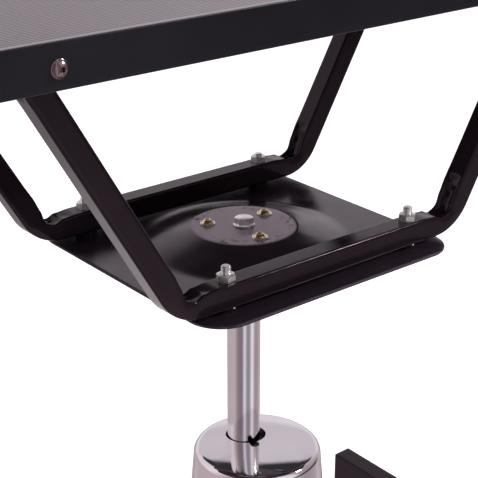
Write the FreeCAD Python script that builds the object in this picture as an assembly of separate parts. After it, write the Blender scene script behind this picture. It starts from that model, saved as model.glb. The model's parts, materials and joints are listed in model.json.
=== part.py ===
"""Foot-pumped hydraulic lift table: rubber-topped table on two bent tube frames, a pressed
mounting plate, a chromed ram with its pump, and a low H-shaped base.

Millimetres. The origin is on the floor under the ram's axis, X runs along the table's length,
Y across it (the pedal is at -Y) and Z is up. The table is at its highest position."""
import FreeCAD, Part
import math
import os

V = FreeCAD.Vector
X_AXIS, Y_AXIS, Z_AXIS = V(1, 0, 0), V(0, 1, 0), V(0, 0, 1)
SIDES = (-1, 1)
FOUR = [(sx, sy) for sx in SIDES for sy in SIDES]

# ---- driving dimensions ---------------------------------------------------------------------
TABLE_L, TABLE_W = 1080.0, 600.0        # table top, outside the trim
TABLE_TOP = 949.0                       # height of the mat's surface, ram fully out
MAT_T, BOARD_T, TRIM_T = 5.0, 26.0, 2.0
TRIM_LIP = 18.0                         # width of the trim's lip under the board
PLATE_TOP = 611.0                       # top of the mounting plate's flat rim
PLATE_L, PLATE_W, PLATE_T = 338.0, 326.0, 3.0
PLATE_CORNER = 38.0
DOME_RISE, DOME_TOP_R, DOME_FOOT_R = 16.0, 58.0, 121.0
BOLT_X = BOLT_Y = 125.0                 # frame bolts stand on a 250 x 250 mm square
TUBE = 25.0                             # square tube of the support frames
TUBE_WALL = 2.0
SPACER_T, SPACER_D = 4.0, 24.0          # washers between plate and frame
LEG_ANGLE = math.radians(60)
LOWER_BEND_X = 185.0                    # where the rail's and the leg's centre lines meet
BEND_R = 55.0                           # outside of each bend
FRAME_END_X = 490.0
ROD_D = 38.0
COVER_AXIS_Y = -25.0                    # the tank and the cover sit eccentric to the ram
COVER_TOP, COVER_TOP_R, COVER_EDGE_R = 361.8, 75.0, 9.0
COVER_CROWN_R = 1100.0                  # radius of the cover's slightly domed top
COVER_TAPER, COVER_WALL = 0.08, 1.5
COVER_HOLE, COVER_HOLE_TURN = (1.8, -1.8), -39.0            # centre and direction of the oval hole
COVER_HOLE_LONG, COVER_HOLE_SHORT = 23.6, 20.3              # half lengths of the oval
COVER_NOTCH_R, COVER_NOTCH = 5.6, (-5.0, -26.3)               # opens into the hole
COVER_SLOT_HALF, COVER_SLOT_TOP = 16.0, 132.0               # arched slot for the pedal
COVER_SCREW_Z, COVER_SCREW_L = 6.0, 13.0                    # height above the plate, length
COVER_SCREW_GAP = 0.5                                       # flat head clear of the round wall
BEAM_W, BEAM_H, BEAM_WALL = 30.0, 50.0, 2.0
FOOT_H = 11.0
SIDE_BEAM_X, SIDE_BEAM_L = 400.0, 480.0
CROSS_BEAM_OFFSET = 90.0                # each side of the tank's axis
PUMP_PLATE_T = 6.0
PIVOT_Y, PIVOT_Z = -72.0, 110.0         # pedal fulcrum
PEDAL_ARM = 24.0                        # fulcrum to plunger, and fulcrum to release pin
RUNNING = 0.05                          # radial clearance of a running fit
BODY_GAP = 0.3                          # gap between pieces that move past each other

# ---- fasteners: diameter, across flats, height of the head and of the nut ----------------------
M4_D, M5_D = 4.0, 5.0
M6_D, M6_FLATS, M6_HEAD = 6.0, 10.0, 4.0
M8_D, M8_FLATS, M8_HEAD, M8_NUT = 8.0, 13.0, 5.3, 6.5
M10_D, M10_FLATS, M10_HEAD, M10_NUT = 10.0, 17.0, 6.4, 7.0
M12_D, M12_FLATS, M12_HEAD = 12.0, 19.0, 7.0
FRAME_NUT_TURN = 12.0                   # direction of the frame nuts' corners
BEAM_CORNER_R = 2.5
THROUGH = 1.0                           # how far a cutting tool runs past the material

# ---- levels that follow from them -----------------------------------------------------------
BOARD_TOP = TABLE_TOP - MAT_T
BOARD_BOTTOM = BOARD_TOP - BOARD_T
TRIM_BOTTOM = BOARD_BOTTOM - TRIM_T
RAIL_BOTTOM = PLATE_TOP + SPACER_T
RAIL_TOP = RAIL_BOTTOM + TUBE
DOME_TOP = PLATE_TOP + DOME_RISE
BEAM_TOP = FOOT_H + BEAM_H
PUMP_SEAT = BEAM_TOP + PUMP_PLATE_T
FLANGE_TOP = PUMP_SEAT + 12
CHAMBER_TOP = 149.0
BLOCK_TOP = 174.0
HEAD_BOTTOM, HEAD_TOP = 330.0, 350.0
BUSH_BOTTOM = 320.0
CYLINDER_FLOOR = 76.0


# ---- helpers --------------------------------------------------------------------------------
def box(x0, x1, y0, y1, z0, z1):
    return Part.makeBox(x1 - x0, y1 - y0, z1 - z0, V(x0, y0, z0))


def post(d, z0, z1, x=0.0, y=0.0):
    """Upright cylinder of diameter d."""
    return Part.makeCylinder(d / 2, z1 - z0, V(x, y, z0), Z_AXIS)


def bar(d, start, end):
    """Cylinder of diameter d between two points."""
    line = V(*end) - V(*start)
    return Part.makeCylinder(d / 2, line.Length, V(*start), line)


def ring(d_out, d_in, z0, z1, x=0.0, y=0.0):
    return post(d_out, z0, z1, x, y).cut(post(d_in, z0 - 1, z1 + 1, x, y))


def prism(points, length, start):
    """Face through the points, pushed out along the vector."""
    corners = [V(*p) for p in points]
    face = Part.Face(Part.makePolygon(corners + corners[:1]))
    face.translate(start)
    return face.extrude(length)


def hexagon(across_flats, height, turn=0.0):
    """Upright hexagonal prism on the XY plane, its corners trimmed by a 30 degree cone."""
    r = across_flats / math.sqrt(3)
    angles = [math.radians(turn + 60 * i) for i in range(6)]
    body = prism([(r * math.cos(a), r * math.sin(a), 0) for a in angles], V(0, 0, height), V())
    trim = (r - across_flats / 2) * 0.9
    cone = Part.makeCone(r + 4 * trim, r - trim, 5 * trim * math.tan(math.radians(30)),
                         V(0, 0, height - 5 * trim * math.tan(math.radians(30))))
    lower = Part.makeCylinder(r * 2, height - 5 * trim * math.tan(math.radians(30)))
    return body.common(lower.fuse(cone))


def turned(profile, x=0.0, y=0.0):
    """Solid of revolution from a closed wire in the XZ plane."""
    solid = Part.Face(profile).revolve(V(), Z_AXIS, 360)
    solid.translate(V(x, y, 0))
    return solid


def wire_from(parts):
    """Closed wire in the XZ plane: each part is two points of a line or three of an arc."""
    edges = []
    for part in parts:
        ends = [V(x, 0, z) for x, z in part]
        if len(ends) == 2:
            edges.append(Part.LineSegment(*ends).toShape())
        else:
            edges.append(Part.Arc(*ends).toShape())
    return Part.Wire(Part.__sortEdges__(edges))


def place(shape, x=0.0, y=0.0, z=0.0, axis=None, angle=0.0):
    """Copy of the shape, first turned about an axis through the origin, then moved."""
    copy = shape.copy()
    if axis is not None:
        copy.rotate(V(), axis, angle)
    copy.translate(V(x, y, z))
    return copy


def drill(shape, holes):
    for hole in holes:
        shape = shape.cut(hole)
    return shape


def rounded(shape, radius, test):
    """Shape with a fillet on each edge whose middle and ends pass the test."""
    edges = [e for e in shape.Edges if test(e)]
    return shape.makeFillet(radius, edges)


def upright(edge):
    a, b = edge.Vertexes[0].Point, edge.Vertexes[-1].Point
    return abs(a.x - b.x) < 0.01 and abs(a.y - b.y) < 0.01 and abs(a.z - b.z) > 0.5


def save(name, *solids):
    """One file per node; a node of several pieces is a compound of separate solids."""
    shape = solids[0] if len(solids) == 1 else Part.makeCompound(list(solids))
    if len(solids) == 1 and len(shape.Solids) == 1:
        shape = shape.Solids[0]
    shape.exportStep("parts/" + name + ".step")
    box_size = shape.BoundBox
    print("%-22s solids %2d  valid %s  volume %9.0f  z %6.1f to %6.1f" % (
        name, len(shape.Solids), shape.isValid(), shape.Volume, box_size.ZMin, box_size.ZMax))


def hex_bolt(d, across_flats, head, length):
    """Hex bolt, head below the XY plane and shank above it, with a chamfered end."""
    shank = post(d, 0, length - 1).fuse(Part.makeCone(d / 2, d / 2 - 1, 1, V(0, 0, length - 1)))
    return shank.fuse(place(hexagon(across_flats, head), axis=X_AXIS, angle=180)).removeSplitter()


def domed_head(radius, height):
    """Cap of a sphere standing on the XY plane."""
    sphere_r = (radius ** 2 + height ** 2) / (2 * height)
    return Part.makeSphere(sphere_r, V(0, 0, height - sphere_r)).common(post(2 * sphere_r, 0, height))


def nut(d, across_flats, height, turn=0.0):
    """Plain hex nut standing on the XY plane."""
    return hexagon(across_flats, height, turn).cut(post(d, -1, height + 1))


# ---- table top ------------------------------------------------------------------------------
TRIM_SCREW_X = 400.0
TRIM_SCREW_Y = 150.0
TRIM_SCREW_Z = TRIM_BOTTOM + 15.0
TRIM_SCREW_D, TRIM_SCREW_L = M5_D, 24.0
TRIM_HEAD_R, TRIM_HEAD_H = 6.8, 4.2
TRIM_RECESS_HALF_L, TRIM_RECESS_HALF_W, TRIM_RECESS_DEPTH = 3.4, 0.6, 2.2
TRIM_CORNER_R, BOARD_CORNER_R = 4.0, 2.0
BOARD_SCREW_X = (390.0, 460.0)
BOARD_SCREW_D = M6_D
BOARD_SCREW_BITE = 14.0


def trim_screw_places():
    """Seat point and the direction that each trim screw's head faces."""
    places = []
    for side in SIDES:
        for x in (-TRIM_SCREW_X, 0, TRIM_SCREW_X):
            places.append((V(x, side * TABLE_W / 2, TRIM_SCREW_Z), V(0, side, 0)))
        for y in (-TRIM_SCREW_Y, TRIM_SCREW_Y):
            places.append((V(side * TABLE_L / 2, y, TRIM_SCREW_Z), V(side, 0, 0)))
    return places


def make_trim():
    """Angle section round the board, mitred at the corners."""
    half_l, half_w = TABLE_L / 2, TABLE_W / 2
    outer = box(-half_l, half_l, -half_w, half_w, TRIM_BOTTOM, TABLE_TOP)
    outer = rounded(outer, TRIM_CORNER_R, upright)
    inner = box(-half_l + TRIM_T, half_l - TRIM_T, -half_w + TRIM_T, half_w - TRIM_T,
                BOARD_BOTTOM, TABLE_TOP + 1)
    inner = rounded(inner, BOARD_CORNER_R, upright)
    middle = box(-half_l + TRIM_LIP, half_l - TRIM_LIP, -half_w + TRIM_LIP, half_w - TRIM_LIP,
                 TRIM_BOTTOM - 1, BOARD_BOTTOM + 1)
    angle = outer.cut(inner).cut(middle)
    holes = [Part.makeCylinder(TRIM_SCREW_D / 2, 10, seat - 5 * out, out)
             for seat, out in trim_screw_places()]
    angle = drill(angle, holes)
    far = 40.0
    mitre = half_w + far
    long_side = [(-half_l - far, -mitre, 0), (half_l + far, -mitre, 0),
                 (half_l - half_w, 0, 0), (-half_l + half_w, 0, 0)]
    cutter = prism(long_side, V(0, 0, TABLE_TOP + 10), V())
    save("edge_trim_front", angle.common(cutter))
    save("edge_trim_rear", angle.common(place(cutter, axis=Z_AXIS, angle=180)))
    ends = angle.cut(cutter).cut(place(cutter, axis=Z_AXIS, angle=180))
    by_x = sorted(ends.Solids, key=lambda solid: solid.CenterOfMass.x)
    save("edge_trim_left", by_x[0])
    save("edge_trim_right", by_x[1])


def make_trim_screws():
    """Domed screws with a cross recess, driven level into the board's edge."""
    head = domed_head(TRIM_HEAD_R, TRIM_HEAD_H)
    for turn in (0, 90):
        slot = box(-TRIM_RECESS_HALF_L, TRIM_RECESS_HALF_L, -TRIM_RECESS_HALF_W, TRIM_RECESS_HALF_W,
                   TRIM_HEAD_H - TRIM_RECESS_DEPTH, TRIM_HEAD_H + THROUGH)
        head = head.cut(place(slot, axis=Z_AXIS, angle=turn))
    tip = Part.makeCone(0.6, TRIM_SCREW_D / 2, 5, V(0, 0, -TRIM_SCREW_L))
    screw = head.fuse(post(TRIM_SCREW_D, 5 - TRIM_SCREW_L, 0)).fuse(tip).removeSplitter()
    screws = []
    for seat, out in trim_screw_places():
        copy = screw.copy()
        copy.Placement = FreeCAD.Placement(seat, FreeCAD.Rotation(Z_AXIS, out))
        screws.append(copy)
    save("trim_screws", *screws)


def board_screw_places():
    return [(sx * x, sy * BOLT_Y) for sx, sy in FOUR for x in BOARD_SCREW_X]


def make_board():
    half_l, half_w = TABLE_L / 2 - TRIM_T, TABLE_W / 2 - TRIM_T
    board = rounded(box(-half_l, half_l, -half_w, half_w, BOARD_BOTTOM, BOARD_TOP),
                    BOARD_CORNER_R, upright)
    holes = [Part.makeCylinder(TRIM_SCREW_D / 2, TRIM_SCREW_L + 6, seat - (TRIM_SCREW_L + 1) * out, out)
             for seat, out in trim_screw_places()]
    holes += [post(BOARD_SCREW_D, BOARD_BOTTOM - 1, BOARD_BOTTOM + BOARD_SCREW_BITE, x, y)
              for x, y in board_screw_places()]
    save("table_board", drill(board, holes))
    mat = rounded(box(-half_l, half_l, -half_w, half_w, BOARD_TOP, TABLE_TOP), BOARD_CORNER_R, upright)
    save("table_mat", mat)


# ---- support frames -------------------------------------------------------------------------
DIP_L, FOLD_DEPTH = 33.0, 6.0           # on the inside of a bend, along the rail and below it
PINCH_L, PINCH_DEPTH = 42.0, 3.4        # on the inside of a bend, along the leg and into it


def frame_half_outline():
    """Right half of a frame seen from the front, with every bend pinched on its inside."""
    half = TUBE / 2
    along = V(math.cos(LEG_ANGLE), 0, math.sin(LEG_ANGLE))
    reach = math.tan(LEG_ANGLE / 2)
    low = V(LOWER_BEND_X, 0, RAIL_BOTTOM + half)
    rise = BOARD_BOTTOM - half - low.z
    high = V(LOWER_BEND_X + rise / math.tan(LEG_ANGLE), 0, BOARD_BOTTOM - half)
    outer_corner = V(low.x + half * reach, 0, RAIL_BOTTOM)
    inner_corner = V(low.x - half * reach, 0, RAIL_TOP)
    arc_start = outer_corner - V(BEND_R * reach, 0, 0)
    arc_end = outer_corner + along * (BEND_R * reach)
    arc_mid = arc_start + V(BEND_R * math.sin(LEG_ANGLE / 2), 0, BEND_R * (1 - math.cos(LEG_ANGLE / 2)))
    dip_start = inner_corner - V(DIP_L, 0, 0)
    dip_mid = inner_corner - V(0.58 * DIP_L, 0, 0.27 * FOLD_DEPTH)
    fold = inner_corner - V(0.21 * DIP_L, 0, FOLD_DEPTH)
    pinch_mid = inner_corner + along * (0.4 * PINCH_L) + V(along.z, 0, -along.x) * PINCH_DEPTH
    pinch_end = inner_corner + along * PINCH_L
    centre = (low + high) * 0.5

    def opposite(point):
        return centre * 2 - point

    def pairs(*points):
        return [(p.x, p.z) for p in points]

    top_end, low_end = V(FRAME_END_X, 0, BOARD_BOTTOM), V(FRAME_END_X, 0, BOARD_BOTTOM - TUBE)
    mid_low, mid_top = V(0, 0, RAIL_BOTTOM), V(0, 0, RAIL_TOP)
    return wire_from([
        pairs(mid_top, mid_low),
        pairs(mid_low, arc_start),
        pairs(arc_start, arc_mid, arc_end),
        pairs(arc_end, opposite(pinch_end)),
        pairs(opposite(pinch_end), opposite(pinch_mid), opposite(fold)),
        pairs(opposite(fold), opposite(dip_mid), opposite(dip_start)),
        pairs(opposite(dip_start), low_end),
        pairs(low_end, top_end),
        pairs(top_end, opposite(arc_start)),
        pairs(opposite(arc_start), opposite(arc_mid), opposite(arc_end)),
        pairs(opposite(arc_end), pinch_end),
        pairs(pinch_end, pinch_mid, fold),
        pairs(fold, dip_mid, dip_start),
        pairs(dip_start, mid_top),
    ])


def make_frames():
    """Hat-shaped frames of square tube, one along each long side of the mounting plate."""
    outline = frame_half_outline()
    skin = Part.Face(outline).extrude(V(0, TUBE, 0))
    inset = Part.Face(outline).makeOffset2D(-TUBE_WALL)
    bore = inset.extrude(V(0, TUBE - 2 * TUBE_WALL, 0))
    bore.translate(V(0, TUBE_WALL, 0))
    inner = TUBE - 2 * TUBE_WALL
    lead = 2 * TUBE_WALL
    half_bore = bore.fuse(box(-1, lead, TUBE_WALL, TUBE_WALL + inner,
                              RAIL_BOTTOM + TUBE_WALL, RAIL_TOP - TUBE_WALL))
    half_bore = half_bore.fuse(box(FRAME_END_X - lead, FRAME_END_X + 1, TUBE_WALL,
                                   TUBE_WALL + inner, BOARD_BOTTOM - TUBE + TUBE_WALL,
                                   BOARD_BOTTOM - TUBE_WALL))
    half_frame = skin.cut(half_bore)
    frame = half_frame.fuse(half_frame.mirror(V(), X_AXIS)).removeSplitter()
    for name, side in (("support_frame_front", -1), ("support_frame_rear", 1)):
        placed = place(frame, y=side * BOLT_Y - TUBE / 2)
        holes = [post(M10_D, RAIL_BOTTOM - THROUGH, RAIL_TOP + THROUGH, sx * BOLT_X, side * BOLT_Y)
                 for sx in SIDES]
        holes += [post(BOARD_SCREW_D, BOARD_BOTTOM - TUBE - 1, BOARD_BOTTOM + 1, x, y)
                  for x, y in board_screw_places() if y * side > 0]
        save(name, drill(placed, holes))


def make_frame_fittings():
    plug_wall, plug_depth, plug_edge = 3.0, 14.0, 1.5
    bore = TUBE - 2 * TUBE_WALL
    plugs = []
    for sx, sy in FOUR:
        z_mid, y_mid = BOARD_BOTTOM - TUBE / 2, sy * BOLT_Y
        shank = box(FRAME_END_X - plug_depth, FRAME_END_X, y_mid - bore / 2, y_mid + bore / 2,
                    z_mid - bore / 2, z_mid + bore / 2)
        cap = box(FRAME_END_X, FRAME_END_X + plug_wall, y_mid - TUBE / 2, y_mid + TUBE / 2,
                  z_mid - TUBE / 2, z_mid + TUBE / 2)
        cap = rounded(cap, plug_edge, lambda e: e.BoundBox.XLength < 0.01
                      and e.BoundBox.XMin > FRAME_END_X + plug_wall / 2)
        plug = cap.fuse(shank).removeSplitter()
        plugs.append(plug if sx > 0 else plug.mirror(V(), X_AXIS))
    save("frame_end_plugs", *plugs)

    bolt = hex_bolt(BOARD_SCREW_D, M6_FLATS, M6_HEAD, TUBE + BOARD_SCREW_BITE - 1)
    save("board_screws", *[place(bolt, x, y, BOARD_BOTTOM - TUBE) for x, y in board_screw_places()])

    spacers = [ring(SPACER_D, M10_D, PLATE_TOP, RAIL_BOTTOM, sx * BOLT_X, sy * BOLT_Y) for sx, sy in FOUR]
    save("frame_spacers", *spacers)
    stick_out = {(-1, -1): 9.0, (1, -1): 8.5, (-1, 1): 6.0, (1, 1): 3.5}
    under = PLATE_TOP - PLATE_T
    bolts = [place(hex_bolt(M10_D, M10_FLATS, M10_HEAD, RAIL_TOP - under + M10_NUT + stick_out[corner]),
                   corner[0] * BOLT_X, corner[1] * BOLT_Y, under) for corner in FOUR]
    save("frame_bolts", *bolts)
    save("frame_nuts", *[place(nut(M10_D, M10_FLATS, M10_NUT, FRAME_NUT_TURN),
                               sx * BOLT_X, sy * BOLT_Y, RAIL_TOP) for sx, sy in FOUR])


# ---- mounting plate and ram head ------------------------------------------------------------
FLANGE_SCREW_PCD = 80.0
FLANGE_SCREW_ANGLES = [math.radians(a) for a in (16, 136, 256)]
CENTRE_BOLT_D, CENTRE_BOLT_L = M12_D, 34.0
RAM_FLANGE_D, RAM_FLANGE_T = 104.0, 12.0


def flange_screw_places():
    return [(FLANGE_SCREW_PCD / 2 * math.cos(a), FLANGE_SCREW_PCD / 2 * math.sin(a))
            for a in FLANGE_SCREW_ANGLES]


def make_mounting_plate():
    """Pressed plate: a flat rim with a shallow dome that ends in a flat disc."""
    sheet = box(-PLATE_L / 2, PLATE_L / 2, -PLATE_W / 2, PLATE_W / 2, PLATE_TOP - PLATE_T, PLATE_TOP)
    sheet = rounded(sheet, PLATE_CORNER, upright)
    sheet = sheet.cut(post(2 * DOME_FOOT_R, PLATE_TOP - 10, PLATE_TOP + 10))
    shoulder, foot = 6.0, 12.0
    slope = (DOME_RISE - 2.2) / (DOME_FOOT_R - foot - DOME_TOP_R - shoulder / 2)

    def skin(drop):
        top, rim = DOME_TOP - drop, PLATE_TOP - drop
        shoulder_end = (DOME_TOP_R + shoulder / 2, top - 1.1)
        foot_start = (DOME_FOOT_R - foot, shoulder_end[1]
                      - slope * (DOME_FOOT_R - foot - shoulder_end[0]))
        return [((0, top), (DOME_TOP_R - shoulder, top)),
                ((DOME_TOP_R - shoulder, top), (DOME_TOP_R - 1, top - 0.28), shoulder_end),
                (shoulder_end, foot_start),
                (foot_start, (DOME_FOOT_R - foot / 2, rim + 0.3), (DOME_FOOT_R, rim))]

    edges = skin(0) + skin(PLATE_T)
    edges.append(((0, DOME_TOP), (0, DOME_TOP - PLATE_T)))
    edges.append(((DOME_FOOT_R, PLATE_TOP), (DOME_FOOT_R, PLATE_TOP - PLATE_T)))
    plate = sheet.fuse(turned(wire_from(edges))).removeSplitter()
    under, over = PLATE_TOP - PLATE_T - THROUGH, DOME_TOP + THROUGH
    holes = [post(M10_D, under, over, sx * BOLT_X, sy * BOLT_Y) for sx, sy in FOUR]
    holes += [post(M8_D, under, over, x, y) for x, y in flange_screw_places()]
    holes.append(post(CENTRE_BOLT_D, under, over))
    save("mounting_plate", drill(plate, holes))


def make_ram_head():
    washer_d, washer_t, small_washer_d, small_washer_t = 24.0, 2.0, 17.0, 1.4
    save("centre_washer", ring(washer_d, CENTRE_BOLT_D, DOME_TOP, DOME_TOP + washer_t))
    bolt = place(hex_bolt(CENTRE_BOLT_D, M12_FLATS, M12_HEAD, CENTRE_BOLT_L), axis=X_AXIS, angle=180)
    save("centre_bolt", place(bolt, z=DOME_TOP + washer_t))
    save("flange_washers", *[ring(small_washer_d, M8_D, DOME_TOP, DOME_TOP + small_washer_t, x, y)
                             for x, y in flange_screw_places()])
    head_r, head_h, flat = 7.0, 4.4, 0.5
    key, key_depth, shank_l = 5.0, 3.0, 15.0
    head = domed_head(head_r, head_h).common(post(2 * head_r, 0, head_h - flat))
    head = head.cut(place(hexagon(key, 2 * key_depth), z=head_h - key_depth))
    screw = head.fuse(post(M8_D, -shank_l, 0)).removeSplitter()
    save("flange_screws", *[place(screw, x, y, DOME_TOP + small_washer_t)
                            for x, y in flange_screw_places()])
    flange_bottom = DOME_TOP - PLATE_T - RAM_FLANGE_T
    flange = ring(RAM_FLANGE_D, ROD_D, flange_bottom, DOME_TOP - PLATE_T)
    holes = [post(M8_D, flange_bottom - THROUGH, DOME_TOP, x, y) for x, y in flange_screw_places()]
    save("ram_flange", drill(flange, holes))


# ---- ram ------------------------------------------------------------------------------------
GUIDE_TOP = BUSH_BOTTOM - 0.5           # guide ring stops against the bush
GUIDE_H, SPIGOT_D = 12.0, 24.0
RAM_FOOT = 298.0
GROOVE_D, GROOVE_AT = 5.0, 20.5         # grooves that let the oil past the guide ring
NUT_OD, NUT_SLOT_W, NUT_SLOT_DEPTH = 36.0, 5.0, 4.0


def make_ram():
    """Ram with a spigot at its foot, on which the guide ring turns above a round nut."""
    shoulder = GUIDE_TOP + BODY_GAP
    top = DOME_TOP - PLATE_T
    body = post(ROD_D, shoulder, top).fuse(post(SPIGOT_D, RAM_FOOT, shoulder)).removeSplitter()
    save("ram_rod", body.cut(post(CENTRE_BOLT_D, top - CENTRE_BOLT_L + PLATE_T, top + THROUGH)))
    guide = ring(CYL_ID - 2 * RUNNING, SPIGOT_D + 2 * RUNNING, GUIDE_TOP - GUIDE_H, GUIDE_TOP)
    for angle in (0, 90, 180, 270):
        groove = post(GROOVE_D, GUIDE_TOP - GUIDE_H - THROUGH, GUIDE_TOP + THROUGH, GROOVE_AT, 0)
        groove = place(groove, axis=Z_AXIS, angle=angle)
        guide = guide.cut(groove)
    save("ram_guide_ring", guide)
    nut_top = GUIDE_TOP - GUIDE_H - BODY_GAP
    round_nut = ring(NUT_OD, SPIGOT_D, RAM_FOOT + 1, nut_top)
    for angle in (45, 135, 225, 315):
        slot = box(NUT_OD / 2 - NUT_SLOT_DEPTH, NUT_OD / 2 + THROUGH, -NUT_SLOT_W / 2, NUT_SLOT_W / 2,
                   RAM_FOOT, nut_top - 3)
        round_nut = round_nut.cut(place(slot, axis=Z_AXIS, angle=angle))
    save("ram_nut", round_nut)


# ---- pump -----------------------------------------------------------------------------------
CYL_OD, CYL_ID = 50.0, 42.0
BLOCK_R, PUMP_FLANGE_R = 70.0, 93.0
PUMP_BOLT_R = 82.0
TANK_OD, TANK_WALL, GASKET_T = 130.0, 3.0, 2.0
TIE_R, TIE_D, TIE_BITE = 52.0, M8_D, 16.0
HEAD_STEP, GLAND_D, SEAL_H = HEAD_BOTTOM + 6, 48.0, 6.0
FILLER_D, FILLER_Y = 10.0, COVER_AXIS_Y - 46
PLUNGER_Y = PIVOT_Y + PEDAL_ARM
RELEASE_Y = PIVOT_Y - PEDAL_ARM
PLUNGER_D, RELEASE_D, PIN_D = 12.0, 8.0, 10.0
LEVER_HALF, LEVER_W = 9.0, 24.0         # half height and width of the lever at its fulcrum
CHAMBER_HALF = 17.0
EAR_X = 46.0
DUCT_Z = 162.0
GLAND_BOTTOM = 143.0
PLUNGER_BOTTOM = PIVOT_Z + LEVER_HALF + BODY_GAP
RELEASE_GAP = 0.75                      # play between the lever and the pin's ball tip
RELEASE_TIP_R = 4.0
RELEASE_COLLAR_TOP = PIVOT_Z - LEVER_HALF - RELEASE_GAP - RELEASE_TIP_R
COLLAR_D, COLLAR_T = 18.0, 4.0          # on the plunger
RELEASE_COLLAR_D, RELEASE_COLLAR_T = 14.0, 3.0
BOSS_D, BOSS_TOP = 18.0, FLANGE_TOP + 1
GLAND_THREAD_D, GLAND_THREAD_L, GLAND_FLATS = 20.0, 9.0, 24.0
VALVE_D, VALVE_FLATS, VALVE_HEAD, VALVE_BORE = 12.0, 14.0, 7.0, 3.0
VALVE_SEAT_X, VALVE_END_X = 12.0, 13.0  # the hole's step, and the valve's inner end
POCKET_FRONT, POCKET_MARGIN = -130.0, 12.0                  # pockets milled from the block's front
CLIP_D, CLIP_T, CLIP_GAP, CLIP_MOUTH = 16.0, 1.5, 0.5, 6.0


def diagonal_places(radius):
    """Four places at 45 degrees round the tank's axis."""
    reach = radius / math.sqrt(2)
    return [(sx * reach, COVER_AXIS_Y + sy * reach) for sx, sy in FOUR]


def make_pump_block():
    """Casting that holds the cylinder, the pumping plunger and the pedal's fulcrum."""
    block = post(2 * PUMP_FLANGE_R, PUMP_SEAT, FLANGE_TOP, 0, COVER_AXIS_Y)
    block = block.fuse(post(2 * BLOCK_R, PUMP_SEAT, BLOCK_TOP, 0, COVER_AXIS_Y))
    for side in SIDES:
        near, far = sorted((side * EAR_X, side * PUMP_FLANGE_R))
        block = block.cut(box(near, far, POCKET_FRONT, PLUNGER_Y + POCKET_MARGIN,
                              FLANGE_TOP, BLOCK_TOP + THROUGH))
    block = block.cut(box(-CHAMBER_HALF, CHAMBER_HALF, POCKET_FRONT, PLUNGER_Y + POCKET_MARGIN,
                          FLANGE_TOP, CHAMBER_TOP))
    block = block.fuse(post(BOSS_D, PUMP_SEAT + 2, BOSS_TOP, 0, RELEASE_Y))
    duct_start, duct_end = (0, PLUNGER_Y, DUCT_Z), (0, -CYL_ID / 2, DUCT_Z)
    holes = [post(CYL_OD, CYLINDER_FLOOR, BLOCK_TOP + THROUGH),
             post(RELEASE_D + 2 * RUNNING, PUMP_SEAT + 1.5, BOSS_TOP + THROUGH, 0, RELEASE_Y),
             post(PLUNGER_D + 2 * RUNNING, CHAMBER_TOP - THROUGH, DUCT_Z + 3, 0, PLUNGER_Y),
             post(GLAND_THREAD_D, CHAMBER_TOP - THROUGH, CHAMBER_TOP + GLAND_THREAD_L, 0, PLUNGER_Y),
             bar(M5_D, duct_start, duct_end),
             bar(PIN_D, (-BLOCK_R, PIVOT_Y, PIVOT_Z), (BLOCK_R, PIVOT_Y, PIVOT_Z)),
             bar(M4_D, (-VALVE_SEAT_X, PLUNGER_Y, DUCT_Z), (VALVE_SEAT_X, PLUNGER_Y, DUCT_Z))]
    for side in SIDES:
        holes.append(bar(VALVE_D, (side * VALVE_SEAT_X, PLUNGER_Y, DUCT_Z),
                         (side * BLOCK_R, PLUNGER_Y, DUCT_Z)))
    holes += [post(M10_D, PUMP_SEAT - THROUGH, FLANGE_TOP + THROUGH, x, y)
              for x, y in diagonal_places(PUMP_BOLT_R)]
    holes += [post(TIE_D, BLOCK_TOP - TIE_BITE, BLOCK_TOP + THROUGH, x, y) for x, y in diagonal_places(TIE_R)]
    holes += [bar(M5_D, *ends) for ends in cover_screw_ends(0.0)]
    save("pump_block", drill(block, holes).removeSplitter())


def cover_screw_ends(extra):
    """Inner and outer end of each radial screw at the cover's foot."""
    ends = []
    level = PUMP_SEAT + COVER_SCREW_Z
    inner, outer = PUMP_BOLT_R, cover_radius(level) + extra
    for angle in (90, 210, 330):
        a = math.radians(angle)
        ends.append(((inner * math.cos(a), COVER_AXIS_Y + inner * math.sin(a), level),
                     (outer * math.cos(a), COVER_AXIS_Y + outer * math.sin(a), level)))
    return ends


def cover_shoulder():
    """Height at which the cover's straight wall ends and its edge begins to turn in."""
    reach = COVER_TOP_R - COVER_EDGE_R
    sag = COVER_CROWN_R - math.sqrt(COVER_CROWN_R ** 2 - reach ** 2)
    return COVER_TOP - sag - COVER_EDGE_R


def cover_radius(z):
    return COVER_TOP_R + COVER_TAPER * (cover_shoulder() - z)


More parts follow.
